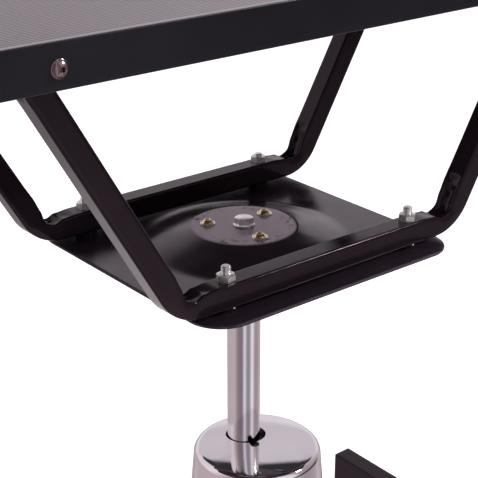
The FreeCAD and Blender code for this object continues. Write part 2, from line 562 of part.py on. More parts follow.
def make_cylinder_and_tank():
    tube = ring(CYL_OD, CYL_ID, CYLINDER_FLOOR, HEAD_STEP)
    save("pressure_cylinder", tube.cut(bar(M5_D, (0, -CYL_OD, DUCT_Z), (0, 0, DUCT_Z))))
    low, high = BLOCK_TOP + GASKET_T, HEAD_BOTTOM - GASKET_T
    save("oil_tank", ring(TANK_OD, TANK_OD - 2 * TANK_WALL, low, high, 0, COVER_AXIS_Y))
    gaskets = [ring(TANK_OD, TANK_OD - 2 * TANK_WALL - 2, z, z + GASKET_T, 0, COVER_AXIS_Y)
               for z in (BLOCK_TOP, high)]
    save("tank_gaskets", *gaskets)
    head = post(TANK_OD, HEAD_BOTTOM, HEAD_TOP, 0, COVER_AXIS_Y)
    holes = [post(CYL_OD, HEAD_BOTTOM - THROUGH, HEAD_STEP), post(GLAND_D, HEAD_BOTTOM, HEAD_TOP + THROUGH),
             post(FILLER_D, HEAD_BOTTOM - THROUGH, HEAD_TOP + THROUGH, 0, FILLER_Y)]
    holes += [post(TIE_D, HEAD_BOTTOM - THROUGH, HEAD_TOP + THROUGH, x, y) for x, y in diagonal_places(TIE_R)]
    save("tank_head", drill(head, holes))
    save("tie_rods", *[post(TIE_D, BLOCK_TOP - TIE_BITE, HEAD_TOP + 8, x, y)
                       for x, y in diagonal_places(TIE_R)])
    save("tie_rod_nuts", *[place(nut(TIE_D, M8_FLATS, M8_NUT), x, y, HEAD_TOP)
                           for x, y in diagonal_places(TIE_R)])
    plug = post(FILLER_D, HEAD_TOP - 9, HEAD_TOP).fuse(post(16, HEAD_TOP, HEAD_TOP + 5))
    save("filler_plug", place(plug.removeSplitter(), 0, FILLER_Y))


def make_ram_guide():
    bore = ROD_D + 2 * RUNNING
    lips = bore + 0.06
    wiper_d, wiper_h = 46.0, 4.5
    bush = post(CYL_ID, BUSH_BOTTOM, HEAD_STEP).fuse(post(GLAND_D, HEAD_STEP, HEAD_TOP - SEAL_H))
    save("guide_bush", bush.removeSplitter().cut(post(bore, BUSH_BOTTOM - THROUGH, HEAD_TOP)))
    save("ram_seal", ring(GLAND_D, lips, HEAD_TOP - SEAL_H, HEAD_TOP))
    save("ram_wiper", ring(wiper_d, lips, HEAD_TOP, HEAD_TOP + wiper_h))


def coil_spring(wire, mean_d, z0, z1, turns, x, y):
    """Closed-up round-wire spring whose wire lies wholly between the two heights."""
    height = z1 - z0 - wire
    helix = Part.makeHelix(height / turns, height, mean_d / 2)
    section = Part.Wire(Part.makeCircle(wire / 2, V(mean_d / 2, 0, 0), Y_AXIS))
    solid = Part.Wire(helix.Edges).makePipeShell([section], True, True)
    return place(solid, x, y, z0 + wire / 2)


def make_pump_works():
    plunger_top = DUCT_Z - 5.0
    plunger = post(PLUNGER_D, PLUNGER_BOTTOM, plunger_top, 0, PLUNGER_Y)
    collar = post(COLLAR_D, PLUNGER_BOTTOM, PLUNGER_BOTTOM + COLLAR_T, 0, PLUNGER_Y)
    save("pump_plunger", plunger.fuse(collar).removeSplitter())
    spring_low = PLUNGER_BOTTOM + COLLAR_T
    save("plunger_spring", coil_spring(1.6, 14.6, spring_low, GLAND_BOTTOM, 5, 0, PLUNGER_Y))
    gland = place(hexagon(GLAND_FLATS, CHAMBER_TOP - GLAND_BOTTOM), axis=X_AXIS, angle=180)
    gland = place(gland, 0, PLUNGER_Y, CHAMBER_TOP)
    thread_top = CHAMBER_TOP + GLAND_THREAD_L
    gland = gland.fuse(post(GLAND_THREAD_D, CHAMBER_TOP, thread_top, 0, PLUNGER_Y)).removeSplitter()
    bore = post(PLUNGER_D + 2 * RUNNING, GLAND_BOTTOM - THROUGH, thread_top + THROUGH, 0, PLUNGER_Y)
    save("plunger_gland", gland.cut(bore))

    spring_top = RELEASE_COLLAR_TOP - RELEASE_COLLAR_T
    pin = post(RELEASE_D, FLANGE_TOP - 3, RELEASE_COLLAR_TOP, 0, RELEASE_Y)
    collar = post(RELEASE_COLLAR_D, spring_top, RELEASE_COLLAR_TOP, 0, RELEASE_Y)
    tip = Part.makeSphere(RELEASE_TIP_R, V(0, RELEASE_Y, RELEASE_COLLAR_TOP))
    save("release_pin", pin.fuse(collar).fuse(tip).removeSplitter())
    save("release_spring", coil_spring(1.2, 10.4, BOSS_TOP, spring_top, 3, 0, RELEASE_Y))

    valves = []
    for side in SIDES:
        valve_head = place(hexagon(VALVE_FLATS, VALVE_HEAD), axis=Y_AXIS, angle=90 * side)
        valve_head = place(valve_head, side * EAR_X, PLUNGER_Y, DUCT_Z)
        body = bar(VALVE_D, (side * VALVE_END_X, PLUNGER_Y, DUCT_Z), (side * EAR_X, PLUNGER_Y, DUCT_Z))
        valve = valve_head.fuse(body).removeSplitter()
        bore = bar(VALVE_BORE, (0, PLUNGER_Y, DUCT_Z), (side * 2 * VALVE_D, PLUNGER_Y, DUCT_Z))
        valves.append(valve.cut(bore))
    save("check_valves", *valves)

    half_pin = EAR_X + 6
    save("pedal_pivot_pin", bar(PIN_D, (-half_pin, PIVOT_Y, PIVOT_Z), (half_pin, PIVOT_Y, PIVOT_Z)))
    clips = []
    for side in SIDES:
        start, end = side * (EAR_X + CLIP_GAP), side * (EAR_X + CLIP_GAP + CLIP_T)
        clip = bar(CLIP_D, (start, PIVOT_Y, PIVOT_Z), (end, PIVOT_Y, PIVOT_Z))
        clip = clip.cut(bar(PIN_D, (start - side, PIVOT_Y, PIVOT_Z), (end + side, PIVOT_Y, PIVOT_Z)))
        mouth = box(min(start, end) - THROUGH, max(start, end) + THROUGH, PIVOT_Y - CLIP_MOUTH / 2,
                    PIVOT_Y + CLIP_MOUTH / 2, PIVOT_Z - CLIP_D, PIVOT_Z)
        clips.append(clip.cut(mouth))
    save("pivot_pin_clips", *clips)


def make_cover():
    """Thin tapered cover with a rounded top edge, a ram hole with a small notch, and a slot."""
    foot_r = cover_radius(PUMP_SEAT)
    shoulder_z = cover_shoulder()
    reach = COVER_TOP_R - COVER_EDGE_R
    crown_tilt = math.asin(reach / COVER_CROWN_R)
    crown_centre = COVER_TOP - COVER_CROWN_R

    def on_crown(drop, share):
        """Point of the crown's arc, the drop below the outside, at a share of the way out."""
        radius, angle = COVER_CROWN_R - drop, crown_tilt * share
        return radius * math.sin(angle), crown_centre + radius * math.cos(angle)

    def on_edge(drop, share):
        """Point of the rounded edge, from the crown's end at 0 to the wall at 1."""
        radius = COVER_EDGE_R - drop
        start = math.pi / 2 - crown_tilt
        angle = start * (1 - share)
        hub_x, hub_z = reach, shoulder_z
        return hub_x + radius * math.cos(angle), hub_z + radius * math.sin(angle)

    def outline(drop):
        crown_end, edge_start = on_crown(drop, 1), on_edge(drop, 0)
        return [(on_crown(drop, 0), on_crown(drop, 0.5), crown_end),
                (crown_end, edge_start),
                (edge_start, on_edge(drop, 0.5), on_edge(drop, 1)),
                (on_edge(drop, 1), (foot_r - drop, PUMP_SEAT))]

    profile = wire_from(outline(0) + outline(COVER_WALL) + [
        (on_crown(0, 0), on_crown(COVER_WALL, 0)),
        ((foot_r, PUMP_SEAT), (foot_r - COVER_WALL, PUMP_SEAT))])
    cover = turned(profile, 0, COVER_AXIS_Y)
    oval = Part.Ellipse(V(), COVER_HOLE_LONG, COVER_HOLE_SHORT).toShape()
    hole = Part.Face(Part.Wire(oval)).extrude(V(0, 0, COVER_EDGE_R))
    hole.rotate(V(), Z_AXIS, COVER_HOLE_TURN)
    hole.translate(V(*COVER_HOLE, COVER_TOP - COVER_EDGE_R + 1))
    notch = post(2 * COVER_NOTCH_R, COVER_TOP - COVER_EDGE_R, COVER_TOP + 1, *COVER_NOTCH)
    cover = cover.cut(hole).cut(notch)
    arch_z = COVER_SLOT_TOP - COVER_SLOT_HALF
    inside, outside = COVER_AXIS_Y - reach, COVER_AXIS_Y - 2 * reach
    slot = box(-COVER_SLOT_HALF, COVER_SLOT_HALF, outside, inside, PUMP_SEAT - THROUGH, arch_z)
    arch = bar(2 * COVER_SLOT_HALF, (0, outside, arch_z), (0, inside, arch_z))
    cover = cover.cut(slot).cut(arch)
    cover = drill(cover, [bar(M5_D, *ends) for ends in cover_screw_ends(2 * COVER_WALL)])
    save("pump_cover", cover)
    screws = []
    for inner, outer in cover_screw_ends(0.0):
        out = (V(*outer) - V(*inner)).normalize()
        seat = V(*outer) + out * COVER_SCREW_GAP
        head = Part.makeCone(M5_D, 3.2, 2.6, seat, out)
        shank = Part.makeCylinder(M5_D / 2, COVER_SCREW_L, seat - out * COVER_SCREW_L, out)
        screws.append(shank.fuse(head).removeSplitter())
    save("cover_screws", *screws)


# ---- pedal ----------------------------------------------------------------------------------
PEDAL_BOTTOM, PEDAL_ARM_T = 136.0, 12.0
PEDAL_PLATE_T, PEDAL_TREAD_T = 3.0, 6.0
PEDAL_FRONT, PEDAL_BACK = -288.0, -226.0
PEDAL_HALF_W, PEDAL_CORNER_R = 55.0, 10.0


def make_pedal():
    """Cranked lever whose nose lifts the plunger when the foot plate is pressed down."""
    low, high = PIVOT_Z - LEVER_HALF, PIVOT_Z + LEVER_HALF
    end = PEDAL_FRONT + 8
    outline = [(PLUNGER_Y, low), (-112, low), (-218, PEDAL_BOTTOM), (end, PEDAL_BOTTOM),
               (end, PEDAL_BOTTOM + PEDAL_ARM_T), (-222, PEDAL_BOTTOM + PEDAL_ARM_T),
               (-112, high), (PLUNGER_Y, high)]
    points = [(0, y, z) for y, z in outline]
    lever = prism(points, V(LEVER_W, 0, 0), V(-LEVER_W / 2, 0, 0))
    nose = bar(2 * LEVER_HALF, (-LEVER_W / 2, PLUNGER_Y, PIVOT_Z), (LEVER_W / 2, PLUNGER_Y, PIVOT_Z))
    lever = lever.fuse(nose).removeSplitter()
    bore = PIN_D + 2 * RUNNING
    lever = lever.cut(bar(bore, (-30, PIVOT_Y, PIVOT_Z), (30, PIVOT_Y, PIVOT_Z)))
    plate_low = PEDAL_BOTTOM + PEDAL_ARM_T
    middle = (PEDAL_FRONT + PEDAL_BACK) / 2
    bolt_places = [(0.0, middle - 14), (0.0, middle + 14)]
    holes = [post(M6_D, low, plate_low + PEDAL_PLATE_T + THROUGH, x, y) for x, y in bolt_places]
    lever = drill(lever, holes)
    save("pedal_lever", lever)

    plate = box(-PEDAL_HALF_W, PEDAL_HALF_W, PEDAL_FRONT, PEDAL_BACK, plate_low, plate_low + PEDAL_PLATE_T)
    plate = rounded(plate, PEDAL_CORNER_R, upright)
    save("pedal_plate", drill(plate, holes))
    tread_low = plate_low + PEDAL_PLATE_T
    tread = box(-PEDAL_HALF_W, PEDAL_HALF_W, PEDAL_FRONT, PEDAL_BACK, tread_low, tread_low + PEDAL_TREAD_T)
    tread = rounded(tread, PEDAL_CORNER_R, upright)
    groove_gap, groove_w, groove_depth = 9.0, 2.5, 2.5
    count = int((PEDAL_BACK - PEDAL_FRONT - 14) / groove_gap)
    for i in range(count + 1):
        y = PEDAL_FRONT + 8 + i * groove_gap
        tread = tread.cut(box(-PEDAL_HALF_W - THROUGH, PEDAL_HALF_W + THROUGH, y, y + groove_w,
                              tread_low + PEDAL_TREAD_T - groove_depth, tread_low + PEDAL_TREAD_T + THROUGH))
    tread = drill(tread, [post(2 * M6_D, tread_low - THROUGH, tread_low + PEDAL_TREAD_T + THROUGH, x, y)
                          for x, y in bolt_places])
    save("pedal_tread", tread)
    bolts = []
    for x, y in bolt_places:
        shank = post(M6_D, PEDAL_BOTTOM - M6_HEAD - 1, tread_low, x, y)
        dome = Part.makeCone(5.2, 3.4, 2.4, V(x, y, tread_low))
        tail = place(hexagon(M6_FLATS, M6_HEAD, 30), x, y, PEDAL_BOTTOM - M6_HEAD)
        bolts.append(shank.fuse(dome).fuse(tail).removeSplitter())
    save("pedal_bolts", *bolts)


# ---- base -----------------------------------------------------------------------------------
BASE_BOLT_D = M8_D
BASE_BOLT_Y = 27.0                      # each side of a cross beam
FOOT_Y = 215.0
CAP_T, CAP_EDGE_R, CAP_DEPTH = 2.5, 1.5, 12.0
PAD_D, PAD_EDGE_R = 40.0, 2.0
STUD_D, STUD_HEAD_D, STUD_HEAD_T = 10.0, 13.0, 4.0          # that holds a rubber foot
END_PLATE_T = 5.0
PLATE_MARGIN, PLATE_NUT = 20.0, 8.0     # round the plate's bolts, and the nuts of the pump's bolts
PLATE_BOLT_X = 100.0


def cross_beam_places():
    return [COVER_AXIS_Y - CROSS_BEAM_OFFSET, COVER_AXIS_Y + CROSS_BEAM_OFFSET]


def base_bolt_places():
    return [(side, beam_y + along * BASE_BOLT_Y)
            for side in SIDES for beam_y in cross_beam_places() for along in SIDES]


def beam_along_y(x, y0, y1):
    half = BEAM_W / 2
    outer = box(x - half, x + half, y0, y1, FOOT_H, BEAM_TOP)
    outer = rounded(outer, BEAM_CORNER_R, lambda e: e.BoundBox.YLength > y1 - y0 - 1)
    wall = BEAM_WALL
    return outer.cut(box(x - half + wall, x + half - wall, y0 - 1, y1 + 1, FOOT_H + wall, BEAM_TOP - wall))


def beam_along_x(y, x0, x1):
    half = BEAM_W / 2
    outer = box(x0, x1, y - half, y + half, FOOT_H, BEAM_TOP)
    outer = rounded(outer, BEAM_CORNER_R, lambda e: e.BoundBox.XLength > x1 - x0 - 1)
    wall = BEAM_WALL
    return outer.cut(box(x0 - 1, x1 + 1, y - half + wall, y + half - wall, FOOT_H + wall, BEAM_TOP - wall))


def make_base_beams():
    half_l = SIDE_BEAM_L / 2 - CAP_T
    mid_z = FOOT_H + BEAM_H / 2
    inner_x = SIDE_BEAM_X - BEAM_W / 2
    for name, side in (("side_beam_left", -1), ("side_beam_right", 1)):
        beam = beam_along_y(side * SIDE_BEAM_X, -half_l, half_l)
        holes = [bar(BASE_BOLT_D, (side * (inner_x - 5), y, mid_z), (side * (inner_x + 40), y, mid_z))
                 for bolt_side, y in base_bolt_places() if bolt_side == side]
        holes += [post(STUD_D, FOOT_H - THROUGH, FOOT_H + 2 * BEAM_WALL, side * SIDE_BEAM_X, sy * FOOT_Y)
                  for sy in SIDES]
        save(name, drill(beam, holes))
    for name, y in zip(("cross_beam_front", "cross_beam_rear"), cross_beam_places()):
        beam = beam_along_x(y, -inner_x + END_PLATE_T, inner_x - END_PLATE_T)
        for side in SIDES:
            near, far = sorted((side * (inner_x - END_PLATE_T), side * inner_x))
            reach = BASE_BOLT_Y + 11
            beam = beam.fuse(box(near, far, y - reach, y + reach, FOOT_H, BEAM_TOP))
        holes = [bar(BASE_BOLT_D, (side * (inner_x - 10), bolt_y, mid_z), (side * (inner_x + 5), bolt_y, mid_z))
                 for side, bolt_y in base_bolt_places() if abs(bolt_y - y) < BASE_BOLT_Y + 1]
        holes += [post(BASE_BOLT_D, 0, 100, sx * PLATE_BOLT_X, y) for sx in SIDES]
        save(name, drill(beam.removeSplitter(), holes))


def make_base_fittings():
    caps = []
    for sx, sy in FOUR:
        x, end = sx * SIDE_BEAM_X, SIDE_BEAM_L / 2 - CAP_T
        inset = BEAM_WALL
        cap = box(x - BEAM_W / 2, x + BEAM_W / 2, end, end + CAP_T, FOOT_H, BEAM_TOP)
        cap = rounded(cap, CAP_EDGE_R, lambda e: e.BoundBox.YLength < 0.01 and e.BoundBox.YMin > end + 1)
        core = box(x - BEAM_W / 2 + inset, x + BEAM_W / 2 - inset, end - CAP_DEPTH, end,
                   FOOT_H + inset, BEAM_TOP - inset)
        cap = cap.fuse(core).removeSplitter()
        caps.append(cap if sy > 0 else cap.mirror(V(), Y_AXIS))
    save("beam_end_caps", *caps)

    pad = rounded(post(PAD_D, 0, FOOT_H), PAD_EDGE_R, lambda e: e.BoundBox.ZMax < 0.01)
    wall_top = FOOT_H + BEAM_WALL
    stud = post(STUD_D, FOOT_H, wall_top).fuse(post(STUD_HEAD_D, wall_top, wall_top + STUD_HEAD_T))
    foot = pad.fuse(stud).removeSplitter()
    save("rubber_feet", *[place(foot, sx * SIDE_BEAM_X, sy * FOOT_Y) for sx, sy in FOUR])

    outer_x = SIDE_BEAM_X + BEAM_W / 2
    inner_x = SIDE_BEAM_X - BEAM_W / 2 - END_PLATE_T
    mid_z = FOOT_H + BEAM_H / 2
    bolt = hex_bolt(BASE_BOLT_D, M8_FLATS, M8_HEAD, outer_x - inner_x + M8_NUT + 3)
    bolts, nuts = [], []
    for side, y in base_bolt_places():
        bolts.append(place(bolt, side * outer_x, y, mid_z, Y_AXIS, -90 * side))
        nuts.append(place(nut(BASE_BOLT_D, M8_FLATS, M8_NUT), side * inner_x, y, mid_z, Y_AXIS, -90 * side))
    save("beam_bolts", *bolts)
    long_bolt = place(hex_bolt(BASE_BOLT_D, M8_FLATS, M8_HEAD, PUMP_SEAT - FOOT_H + M8_NUT + 1.0),
                      axis=X_AXIS, angle=180)
    corners = [(sx * PLATE_BOLT_X, y) for sx in SIDES for y in cross_beam_places()]
    save("pump_plate_bolts", *[place(long_bolt, x, y, PUMP_SEAT) for x, y in corners])
    nuts += [place(nut(BASE_BOLT_D, M8_FLATS, M8_NUT), x, y, FOOT_H, X_AXIS, 180) for x, y in corners]
    save("base_nuts", *nuts)


def make_pump_plate():
    y0, y1 = cross_beam_places()
    margin = BEAM_W / 2 + 10
    half_l = PLATE_BOLT_X + PLATE_MARGIN
    plate = box(-half_l, half_l, y0 - margin, y1 + margin, BEAM_TOP, PUMP_SEAT)
    plate = rounded(plate, 12.0, upright)
    corners = [(sx * PLATE_BOLT_X, y) for sx in SIDES for y in (y0, y1)]
    holes = [post(BASE_BOLT_D, BEAM_TOP - 1, PUMP_SEAT + 1, x, y) for x, y in corners]
    places = diagonal_places(PUMP_BOLT_R)
    holes += [post(M10_D, BEAM_TOP - THROUGH, PUMP_SEAT + THROUGH, x, y) for x, y in places]
    save("pump_plate", drill(plate, holes))
    bolt = hex_bolt(M10_D, M10_FLATS, M10_HEAD, FLANGE_TOP - BEAM_TOP + PLATE_NUT + 3)
    bolt = place(bolt, axis=X_AXIS, angle=180)
    save("pump_bolts", *[place(bolt, x, y, FLANGE_TOP) for x, y in places])
    save("pump_nuts", *[place(nut(M10_D, M10_FLATS, PLATE_NUT), x, y, BEAM_TOP, X_AXIS, 180)
                        for x, y in places])


os.makedirs("parts", exist_ok=True)
make_trim()
make_trim_screws()
make_board()
make_frames()
make_frame_fittings()
make_mounting_plate()
make_ram_head()
make_ram()
make_pump_block()
make_cylinder_and_tank()
make_ram_guide()
make_pump_works()
make_cover()
make_pedal()
make_base_beams()
make_base_fittings()
make_pump_plate()
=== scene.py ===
"""Looks of the foot-pumped lift table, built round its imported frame.

Metres, in the frame's own axes: X along the table, Y across it with the pedal at -Y, Z up."""
import json
import math

import bmesh
import bpy
from mathutils import Matrix, Vector


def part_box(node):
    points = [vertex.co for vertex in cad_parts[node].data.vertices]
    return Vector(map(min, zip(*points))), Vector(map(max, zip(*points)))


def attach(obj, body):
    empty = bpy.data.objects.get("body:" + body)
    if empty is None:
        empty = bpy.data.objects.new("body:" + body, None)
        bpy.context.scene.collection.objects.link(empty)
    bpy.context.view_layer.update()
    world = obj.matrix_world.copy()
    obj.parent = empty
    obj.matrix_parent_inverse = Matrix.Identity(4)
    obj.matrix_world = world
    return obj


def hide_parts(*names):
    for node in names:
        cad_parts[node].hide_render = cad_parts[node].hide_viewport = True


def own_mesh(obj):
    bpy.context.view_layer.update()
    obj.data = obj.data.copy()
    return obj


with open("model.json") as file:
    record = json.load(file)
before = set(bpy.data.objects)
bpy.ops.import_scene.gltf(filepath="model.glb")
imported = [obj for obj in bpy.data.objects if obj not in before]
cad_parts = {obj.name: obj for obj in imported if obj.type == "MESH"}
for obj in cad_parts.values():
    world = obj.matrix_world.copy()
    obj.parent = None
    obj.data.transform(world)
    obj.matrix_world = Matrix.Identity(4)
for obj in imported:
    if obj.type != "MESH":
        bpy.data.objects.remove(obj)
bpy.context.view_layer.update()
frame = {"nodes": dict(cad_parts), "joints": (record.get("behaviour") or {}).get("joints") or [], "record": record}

MM = 0.001
TAU = 2 * math.pi
X_AXIS, Y_AXIS, Z_AXIS = Vector((1, 0, 0)), Vector((0, 1, 0)), Vector((0, 0, 1))
SIDES = (-1, 1)
M5, M6, M8, M10, M12 = 5 * MM, 6 * MM, 8 * MM, 10 * MM, 12 * MM
PITCH = {M5: 0.8 * MM, M6: 1.0 * MM, M8: 1.25 * MM, M10: 1.5 * MM, M12: 1.75 * MM}
ACROSS_FLATS = {M6: 10 * MM, M8: 13 * MM, M10: 17 * MM, M12: 19 * MM}


# ---- places read from the frame ----
def solids(node):
    """(lowest corner, highest corner, middle) of each separate solid of a CAD node."""
    mesh = frame["nodes"][node].data
    keys = [tuple(round(c, 5) for c in v.co) for v in mesh.vertices]
    parent = {k: k for k in keys}

    def root(k):
        while parent[k] != k:
            parent[k] = parent[parent[k]]
            k = parent[k]
        return k

    for face in mesh.polygons:
        first = root(keys[face.vertices[0]])
        for i in face.vertices[1:]:
            parent[root(keys[i])] = first
    groups = {}
    for k in parent:
        groups.setdefault(root(k), []).append(k)
    boxes = [(Vector(map(min, *g)), Vector(map(max, *g))) for g in groups.values()]
    boxes.sort(key=lambda b: tuple(round(c, 4) for c in b[0]))
    return [(low, high, (low + high) / 2) for low, high in boxes]


def whole(node):
    """(lowest corner, highest corner, middle) of a CAD node."""
    low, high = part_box(node)
    return low, high, (low + high) / 2


def outer_end(low, high, axis):
    """(+1 or -1, coordinate): the side of the origin a solid is on, and its end away from there."""
    side = math.copysign(1, (low + high)[axis])
    return side, (high if side > 0 else low)[axis]


def standing(x, y, z, turn=0.0):
    """Places a shell that is drawn upright at the origin."""
    return Matrix.Translation((x, y, z)) @ Matrix.Rotation(turn, 4, "Z")


def facing(point, direction, turn=0.0):
    """Places a shell so that its +Z looks along the direction."""
    spin = Vector(direction).to_track_quat("Z", "Y").to_matrix().to_4x4()
    return Matrix.Translation(point) @ spin @ Matrix.Rotation(turn, 4, "Z")


# ---- shells: (points, faces) ----
def skin(rings, loop=False, caps=True):
    """Surface through rings of equally many points, each ring closed on itself."""
    count = len(rings[0])
    points = [p for ring in rings for p in ring]
    faces = []
    for i in range(len(rings) if loop else len(rings) - 1):
        a, b = i * count, (i + 1) % len(rings) * count
        for j in range(count):
            k = (j + 1) % count
            faces.append((a + j, a + k, b + k, b + j))
    if caps and not loop:
        faces.append(tuple(reversed(range(count))))
        faces.append(tuple(range(len(points) - count, len(points))))
    return points, faces


def turns(count):
    """Angles of equal steps round the circle."""
    return [TAU * i / count for i in range(count)]


def polar(stations, segments, loop=False):
    """Surface round the Z axis. A station is a radius and a height, each a number or a function of
    the angle."""
    def at(value, a):
        return value(a) if callable(value) else value

    rings = [[(at(r, a) * math.cos(a), at(r, a) * math.sin(a), at(z, a)) for a in turns(segments)]
             for r, z in stations]
    return skin(rings, loop=loop, caps=False)


def hoop(hub, side, up, radius, count):
    """Ring of points about a hub, in the plane of two unit vectors."""
    return [tuple(hub + radius * (math.cos(a) * side + math.sin(a) * up)) for a in turns(count)]


def between(start, end, steps):
    """Points on the way from start towards end, the end left out."""
    return [tuple(a + (b - a) * i / steps for a, b in zip(start, end)) for i in range(steps)]


def arc(cx, cy, radius, start, end, steps):
    """Points of an arc in a plane, angles in degrees."""
    angles = [math.radians(start + (end - start) * i / steps) for i in range(steps + 1)]
    return [(cx + radius * math.cos(a), cy + radius * math.sin(a)) for a in angles]


def rounded_rectangle(half_x, half_y, radius, steps=6, cx=0.0, cy=0.0):
    """Rectangle with round corners, counter-clockwise from its +X side's top corner."""
    points = []
    for quarter, (sx, sy) in enumerate(((1, 1), (-1, 1), (-1, -1), (1, -1))):
        points += arc(cx + sx * (half_x - radius), cy + sy * (half_y - radius), radius,
                      90 * quarter, 90 * quarter + 90, steps)
    return points


def slab(half_x, half_y, corner, low, high, edge, cx=0.0, cy=0.0, corner_steps=6, edge_steps=3):
    """Plate with round corners, and round edges all over."""
    rings = []
    for z_end, sign in ((low + edge, -1), (high - edge, 1)):
        rounding = arc(0, 0, edge, 0, 90, edge_steps)
        for across, up in (reversed(rounding) if sign < 0 else rounding):
            inset, z = edge - across, z_end + sign * up
            outline = rounded_rectangle(half_x - inset, half_y - inset, max(corner - inset, 1e-5),
                                        corner_steps, cx, cy)
            rings.append([(x, y, z) for x, y in outline])
    return skin(rings)


def bevelled_prism(outline, thickness, edge):
    """Outline in the XY plane pushed up, with its edges rounded."""
    work = bmesh.new()
    face = work.faces.new([work.verts.new((x, y, 0)) for x, y in outline])
    pushed = bmesh.ops.extrude_face_region(work, geom=[face])
    lifted = [v for v in pushed["geom"] if isinstance(v, bmesh.types.BMVert)]
    bmesh.ops.translate(work, vec=(0, 0, thickness), verts=lifted)
    sharp = [e for e in work.edges if len(e.link_faces) == 2 and e.calc_face_angle() > 0.6]
    bmesh.ops.bevel(work, geom=sharp, offset=edge, segments=2, profile=0.5, affect="EDGES")
    work.verts.ensure_lookup_table()
    points = [tuple(v.co) for v in work.verts]
    faces = [tuple(v.index for v in f.verts) for f in work.faces]
    work.free()
    return points, faces


def hexagonal(across_flats):
    """Radius of a hexagon as a function of the angle."""
    def radius(a):
        return across_flats / 2 / math.cos((a + math.pi / 6) % (math.pi / 3) - math.pi / 6)
    return radius


def hex_shell(diameter, height, bore=0.0):
    """Nut, or a bolt's head where it has no bore, with the curved chamfers of turned corners. A
    head's lower face has none."""
    across_flats = ACROSS_FLATS[diameter]
    flat_r, chamfer_slope = across_flats / 2 * 0.98, math.tan(math.radians(24))
    hexagon = hexagonal(across_flats)

    def drop(a):
        return max(0.0, hexagon(a) - flat_r) * chamfer_slope

    stations = [(bore, 0), (flat_r, 0), (hexagon, drop if bore else 0.0),
                (hexagon, lambda a: height - drop(a)), (flat_r, height)]
    if not bore:
        return polar(stations + [(0.0, height)], 72)
    lead = 0.08 * across_flats
    stations[0] = (bore + lead, 0)
    stations += [(bore + lead, height), (bore, height - lead), (bore, lead)]
    return polar(stations, 72, loop=True)


def threaded(diameter, pitch, length):
    """Threaded rod standing on the origin, with a chamfer at its far end."""
    per_turn, segments = 8, 36
    depth, chamfer = 0.42 * pitch, 0.7 * pitch
    rows = int(length / pitch * per_turn)
    rings = []
    for i in range(rows + 1):
        z = length * i / rows
        ring = []
        for j, a in enumerate(turns(segments)):
            share = abs(2 * ((z / pitch - j / segments) % 1.0) - 1)
            r = diameter / 2 - depth * (1 - min(1.0, 1.5 * share))
            r = min(r, diameter / 2 - chamfer + (length - z))
            ring.append((r * math.cos(a), r * math.sin(a), z))
        rings.append(ring)
    return skin(rings)


def washer_shell(outer, bore, thickness, edge):
    return polar([(bore, edge), (bore + edge, 0), (outer - edge, 0), (outer, edge),
                  (outer, thickness - edge), (outer - edge, thickness),
                  (bore + edge, thickness), (bore, thickness - edge)], 64, loop=True)


def domed_head(radius, height, recess, recess_depth, flat, segments):
    """Round head, flat in the middle, with a recess whose outline is a function of the angle."""
    sphere = (radius ** 2 + height ** 2) / (2 * height)
    rim, edge, steps = 0.08 * radius, 0.05 * radius, 10
    stations = [(0.0, 0.0), (radius - rim, 0.0), (radius, rim)]
    for i in range(1, steps + 1):
        r = radius * (1 - (1 - flat) * i / steps)
        stations.append((r, height - sphere + math.sqrt(sphere ** 2 - r ** 2)))
    top = stations[-1][1]
    stations += [(lambda a: recess(a) + edge, top), (recess, top - edge),
                 (recess, top - recess_depth), (0.0, top - recess_depth - 0.12 * radius)]
    return polar(stations, segments)


def cross_recess(length, half_width):
    """Radius of a four-armed recess as a function of the angle."""
    def radius(a):
        a = abs((a + math.pi / 4) % (math.pi / 2) - math.pi / 4)
        across = half_width / max(math.sin(a), 1e-6)
        return min(length / math.cos(a), across)
    return radius


def coil(wire, mean_d, low, high, working_turns, y):
    """Round-wire spring with a closed turn at each end, on an upright axis at X 0."""
    steps_per_turn, closed = 40, 0.9
    start, rise = low + wire / 2, high - low - wire
    total = working_turns + 2 * closed
    flat = wire * 0.95
    rings = []
    count = int(total * steps_per_turn)
    for i in range(count + 1):
        turn = total * i / count
        if turn < closed:
            z = start + flat * turn
        elif turn > total - closed:
            z = start + rise - flat * (total - turn)
        else:
            share = (turn - closed) / working_turns
            z = start + flat * closed + share * (rise - 2 * flat * closed)
        out = Vector((math.cos(TAU * turn), math.sin(TAU * turn), 0))
        rings.append(hoop(Vector((0, y, z)) + out * mean_d / 2, out, Z_AXIS, wire / 2, 12))
    return skin(rings)


# ---- pieces ----
def put_in_scene(name, data, place=(0, 0, 0), rotation=(0, 0, 0)):
    made = bpy.data.objects.new(name, data)
    made.location, made.rotation_euler = place, rotation
    bpy.context.scene.collection.objects.link(made)
    return made


